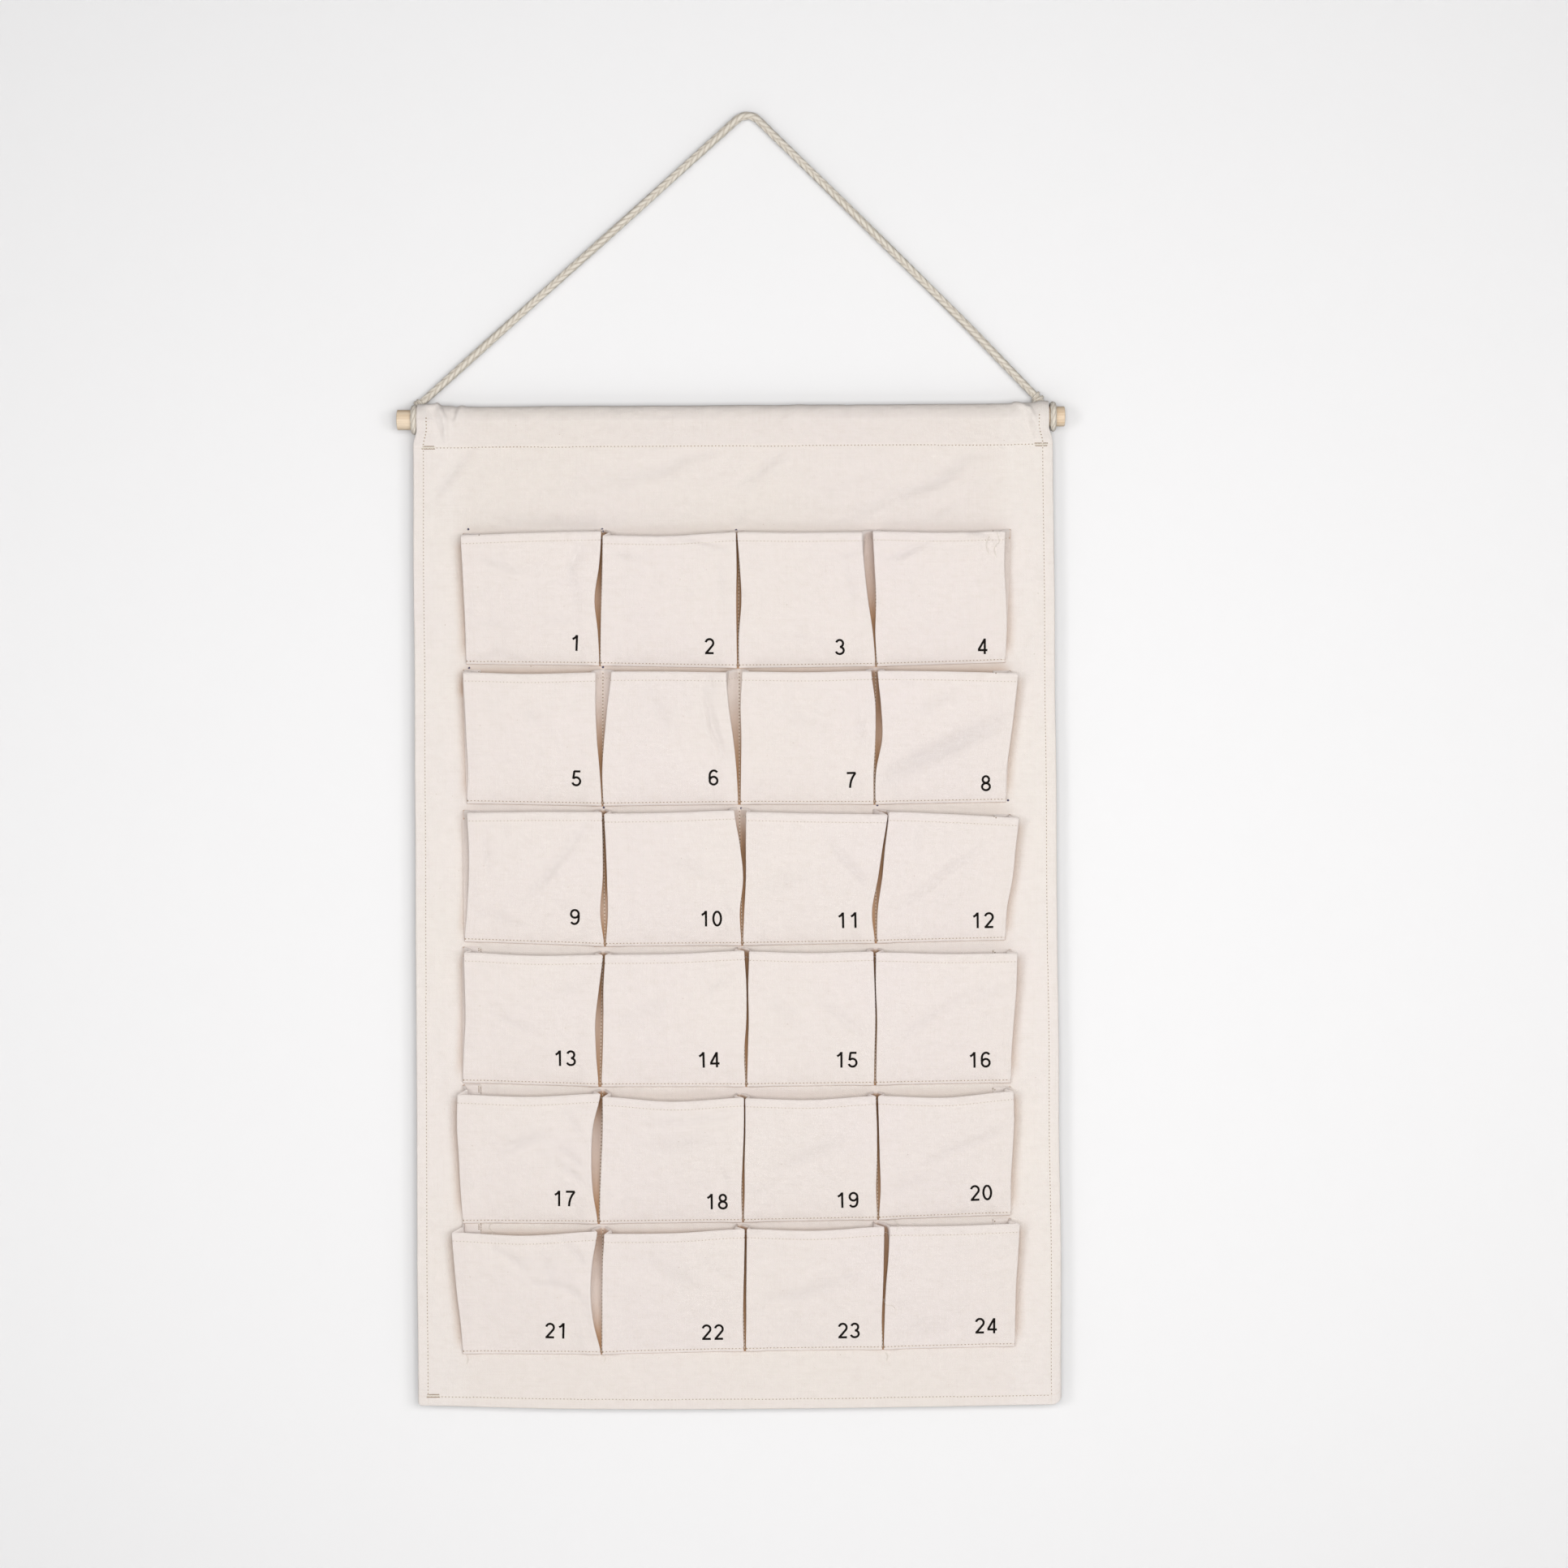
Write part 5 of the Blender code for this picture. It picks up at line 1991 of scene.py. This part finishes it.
# Loose ends of thread, as the pixels that each passes
loose_ends = (
    ((1226, 656), (1230, 668), (1224, 677), (1226, 688)),
    ((1219, 660), (1214, 672), (1217, 684)),
    ((1089, 1600), (1092, 1606), (1099, 1607), (1104, 1613)),
    ((575, 1669), (577, 1674), (575, 1681)),
    ((742, 1670), (746, 1673), (744, 1679)),
    ((1091, 1667), (1094, 1671), (1092, 1677)),
    ((607, 1505), (603, 1512), (608, 1518)),
    ((1100, 1502), (1106, 1507), (1104, 1513)),
)
loose_lift = 0.0007
loose_steps = 16


def make_loose_ends(surface, thread):
    """Short ends of thread that hang off the seams."""
    tubes = Tubes()
    for pixels in loose_ends:
        spots = [from_photo(*pixel, panel_front) for pixel in pixels]
        line = []
        for i in range(loose_steps + 1):
            share = i / loose_steps
            x, z = through([s.x for s in spots], share), through([s.z for s in spots], share)
            place, way = touch(surface, x, z)
            line.append(place + way * (thread_radius + loose_lift * math.sin(math.pi * share)))
        rings = []
        for i, point in enumerate(line):
            along = (line[min(i + 1, loose_steps)] - line[max(i - 1, 0)]).normalized()
            rings.append(ring_round(point, along, front_way, thread_radius))
        tubes.add(rings)
    add_piece("loose_thread_ends", tubes.mesh("loose_thread_ends"), thread, "panel")


def make_strip_thread(strip, surface, thread, hole):
    """A strip's hem stitches, the row along its foot, its three inner upright seams and its oversewn raw
    ends.
    """
    tubes = Tubes()
    height = foot_stitch_rise / strip.flat_height()
    for front in strip.fronts:
        left, right = front.edge_x(height)
        ends = (foot_seam_start_share, 1 - foot_seam_start_share)
        shares = [mix(*ends, i / foot_seam_steps) for i in range(foot_seam_steps + 1)]
        places = [(mix(left, right, across), front.z_at(across, height)) for across in shares]
        sew_across(tubes, surface, places)
    grid, normals = strip.rows_kept, strip.normals_kept
    ways = normals[hem_groove_row]
    line = [place + way * half_cloth for place, way in zip(grid[hem_groove_row], ways)]
    sew(tubes, line, ways, fine_hole_radius)
    for column in strip.seam_columns:
        spots = [line[column] + front_way * half_cloth for line in grid[1:]]
        sew(tubes, spots, [front_way] * len(spots))
    for column, inward in ((0, 1), (columns - 1, -1)):
        overlock_end(tubes, surface, strip, column, inward)
    name = f"row_{strip.row + 1}_thread"
    piece = add_piece(name, tubes.mesh(name), thread, "panel")
    piece.data.materials.append(hole)


# Printed numbers

digit_height = 0.0118
digit_width_share = 1.12
digit_step_share = 0.78
stroke_share = 0.138
digit_box_share = 0.56
digit_point_spacing = 0.0005
digit_stand = 0.006
print_rise = 0.00010
print_sink = 0.00004
arc_steps = 22

# Pen dots: height and radius of each ring, and how unevenly it runs
pen_sides = 12
pen_form = ((-0.00008, 0.0009), (0.00006, 0.00085), (0.00009, 0.0004))
pen_uneven_shares = (0.85, 1.1)


def arc(centre_x, centre_y, reach_x, reach_y, start, end, steps=arc_steps):
    """Points of an upright oval's arc, with its start and end in degrees."""
    turns = [math.radians(mix(start, end, i / steps)) for i in range(steps + 1)]
    return [(centre_x + reach_x * math.cos(t), centre_y + reach_y * math.sin(t)) for t in turns]


def digit_strokes(digit):
    """The middle lines of a plain digit's strokes, in a box about 0.56 wide and 1 high."""
    if digit == "9":
        return [[(0.57 - x, 1 - y) for x, y in stroke] for stroke in digit_strokes("6")]
    strokes = {
        "0": [arc(0.28, 0.5, 0.215, 0.44, 90, 450, 44)],
        "1": [[(0.10, 0.73), (0.20, 0.79), (0.28, 0.87), (0.33, 0.96)], [(0.345, 1.0), (0.345, 0.0)]],
        "2": [
            arc(0.285, 0.695, 0.215, 0.245, 168, -38) + [(0.09, 0.06)],
            [(0.035, 0.058), (0.52, 0.058)],
        ],
        "3": [arc(0.265, 0.72, 0.195, 0.22, 162, -88), arc(0.265, 0.28, 0.225, 0.222, 88, -164)],
        "4": [[(0.40, 0.0), (0.40, 0.98)], [(0.40, 0.955), (0.06, 0.285)], [(0.015, 0.25), (0.55, 0.25)]],
        "5": [
            [(0.50, 0.94), (0.14, 0.94)],
            [(0.165, 0.96), (0.10, 0.46)],
            arc(0.275, 0.31, 0.225, 0.252, 140, -162),
        ],
        "6": [
            arc(0.305, 0.62, 0.235, 0.322, 38, 180) + [(0.062, 0.38)],
            arc(0.285, 0.30, 0.218, 0.243, 0, 360, 40),
        ],
        "7": [
            [(0.03, 0.94), (0.535, 0.94)],
            [(0.52, 0.94), (0.38, 0.72), (0.28, 0.48), (0.225, 0.24), (0.205, 0.0)],
        ],
        "8": [arc(0.28, 0.73, 0.18, 0.21, 0, 360, 36), arc(0.28, 0.278, 0.22, 0.22, 0, 360, 40)],
    }
    return strokes[digit]


def stroke_band(points, half_width):
    """Both edges of a stroke of even width along its middle line."""
    edges = []
    for i, point in enumerate(points):
        after, before = points[min(i + 1, len(points) - 1)], points[max(i - 1, 0)]
        way = (after - before).normalized()
        across = Vector((-way.y, way.x)) * half_width
        edges.append((point + across, point - across))
    return edges


def print_digit(tubes, surface, digit, corner, turn):
    """Lay one digit's strokes on the cloth, from its lower left corner."""
    cos, sin = math.cos(turn), math.sin(turn)
    for stroke in digit_strokes(digit):
        flat = [Vector((x * digit_width_share, y)) * digit_height for x, y in stroke]
        line = [point.to_3d() for point in flat]
        points = [point.to_2d() for point in evenly(line, digit_point_spacing)]
        rings = []
        for pair in stroke_band(points, digit_height * stroke_share / 2):
            places = []
            for edge in pair:
                x = corner.x + edge.x * cos - edge.y * sin
                z = corner.y + edge.x * sin + edge.y * cos
                places.append(touch(surface, x, z)[0])
            low, high = front_way * -print_sink, front_way * print_rise
            rings.append([places[0] + high, places[1] + high, places[1] + low, places[0] + low])
        tubes.add(rings)


def make_numbers(surface, ink):
    """The numbers 1 to 24, each near the lower right corner of its pocket."""
    for number, (pixel_x, pixel_y) in enumerate(digit_places, 1):
        tubes = Tubes()
        digits = str(number)
        middle = from_photo(pixel_x, pixel_y, panel_front - digit_stand)
        turn = math.radians(digit_turns[number - 1])
        wide = digit_box_share * digit_width_share + digit_step_share * (len(digits) - 1)
        wide *= digit_height
        for i, digit in enumerate(digits):
            right = digit_height * digit_step_share * i - wide / 2
            up = -digit_height / 2
            corner = Vector((
                middle.x + right * math.cos(turn) - up * math.sin(turn),
                middle.z + right * math.sin(turn) + up * math.cos(turn),
            ))
            print_digit(tubes, surface, digit, corner, turn)
        name = f"number_{number:02d}"
        add_piece(name, tubes.mesh(name, print_sharp), ink, "panel")


def make_pen_marks(surface):
    """The small dots where the seams were marked before sewing."""
    tubes = Tubes()
    for pixel_x, pixel_y in pen_marks:
        spot = from_photo(pixel_x, pixel_y, panel_front)
        place, way = touch(surface, spot.x, spot.z)
        rings = []
        for rise, radius in pen_form:
            ring = ring_round(place + way * rise, way, Vector((1, 0, 0)), radius, pen_sides)
            rings.append([mix(place, point, chance.uniform(*pen_uneven_shares)) for point in ring])
        tubes.add(rings)
    mesh = tubes.mesh("pen_marks", print_sharp)
    add_piece("pen_marks", mesh, pen_material(), "panel")


def main():
    """Dress the model and set it on its stage, with its light."""
    make_camera()
    make_cord()
    make_dowel()
    half_width = (panel_right - panel_left) / 2 + side_hem
    long_canvas = canvas_material("panel_canvas", panel_cream_share, middle_shade_tone, half_width)
    panel = make_panel(long_canvas)
    canvas = canvas_material("strip_canvas", strip_cream_share, front_shade_tone)
    strips = [make_strip(row, canvas) for row in range(rows)]
    surface = surface_of([panel] + [strip.piece for strip in strips])
    thread, hole = thread_material(), hole_material()
    make_panel_thread(surface, thread, hole)
    for strip in strips:
        make_strip_thread(strip, surface, thread, hole)
    make_loose_ends(surface, thread)
    make_numbers(surface, print_material())
    make_pen_marks(surface)
    make_stage()
    make_light()


main()
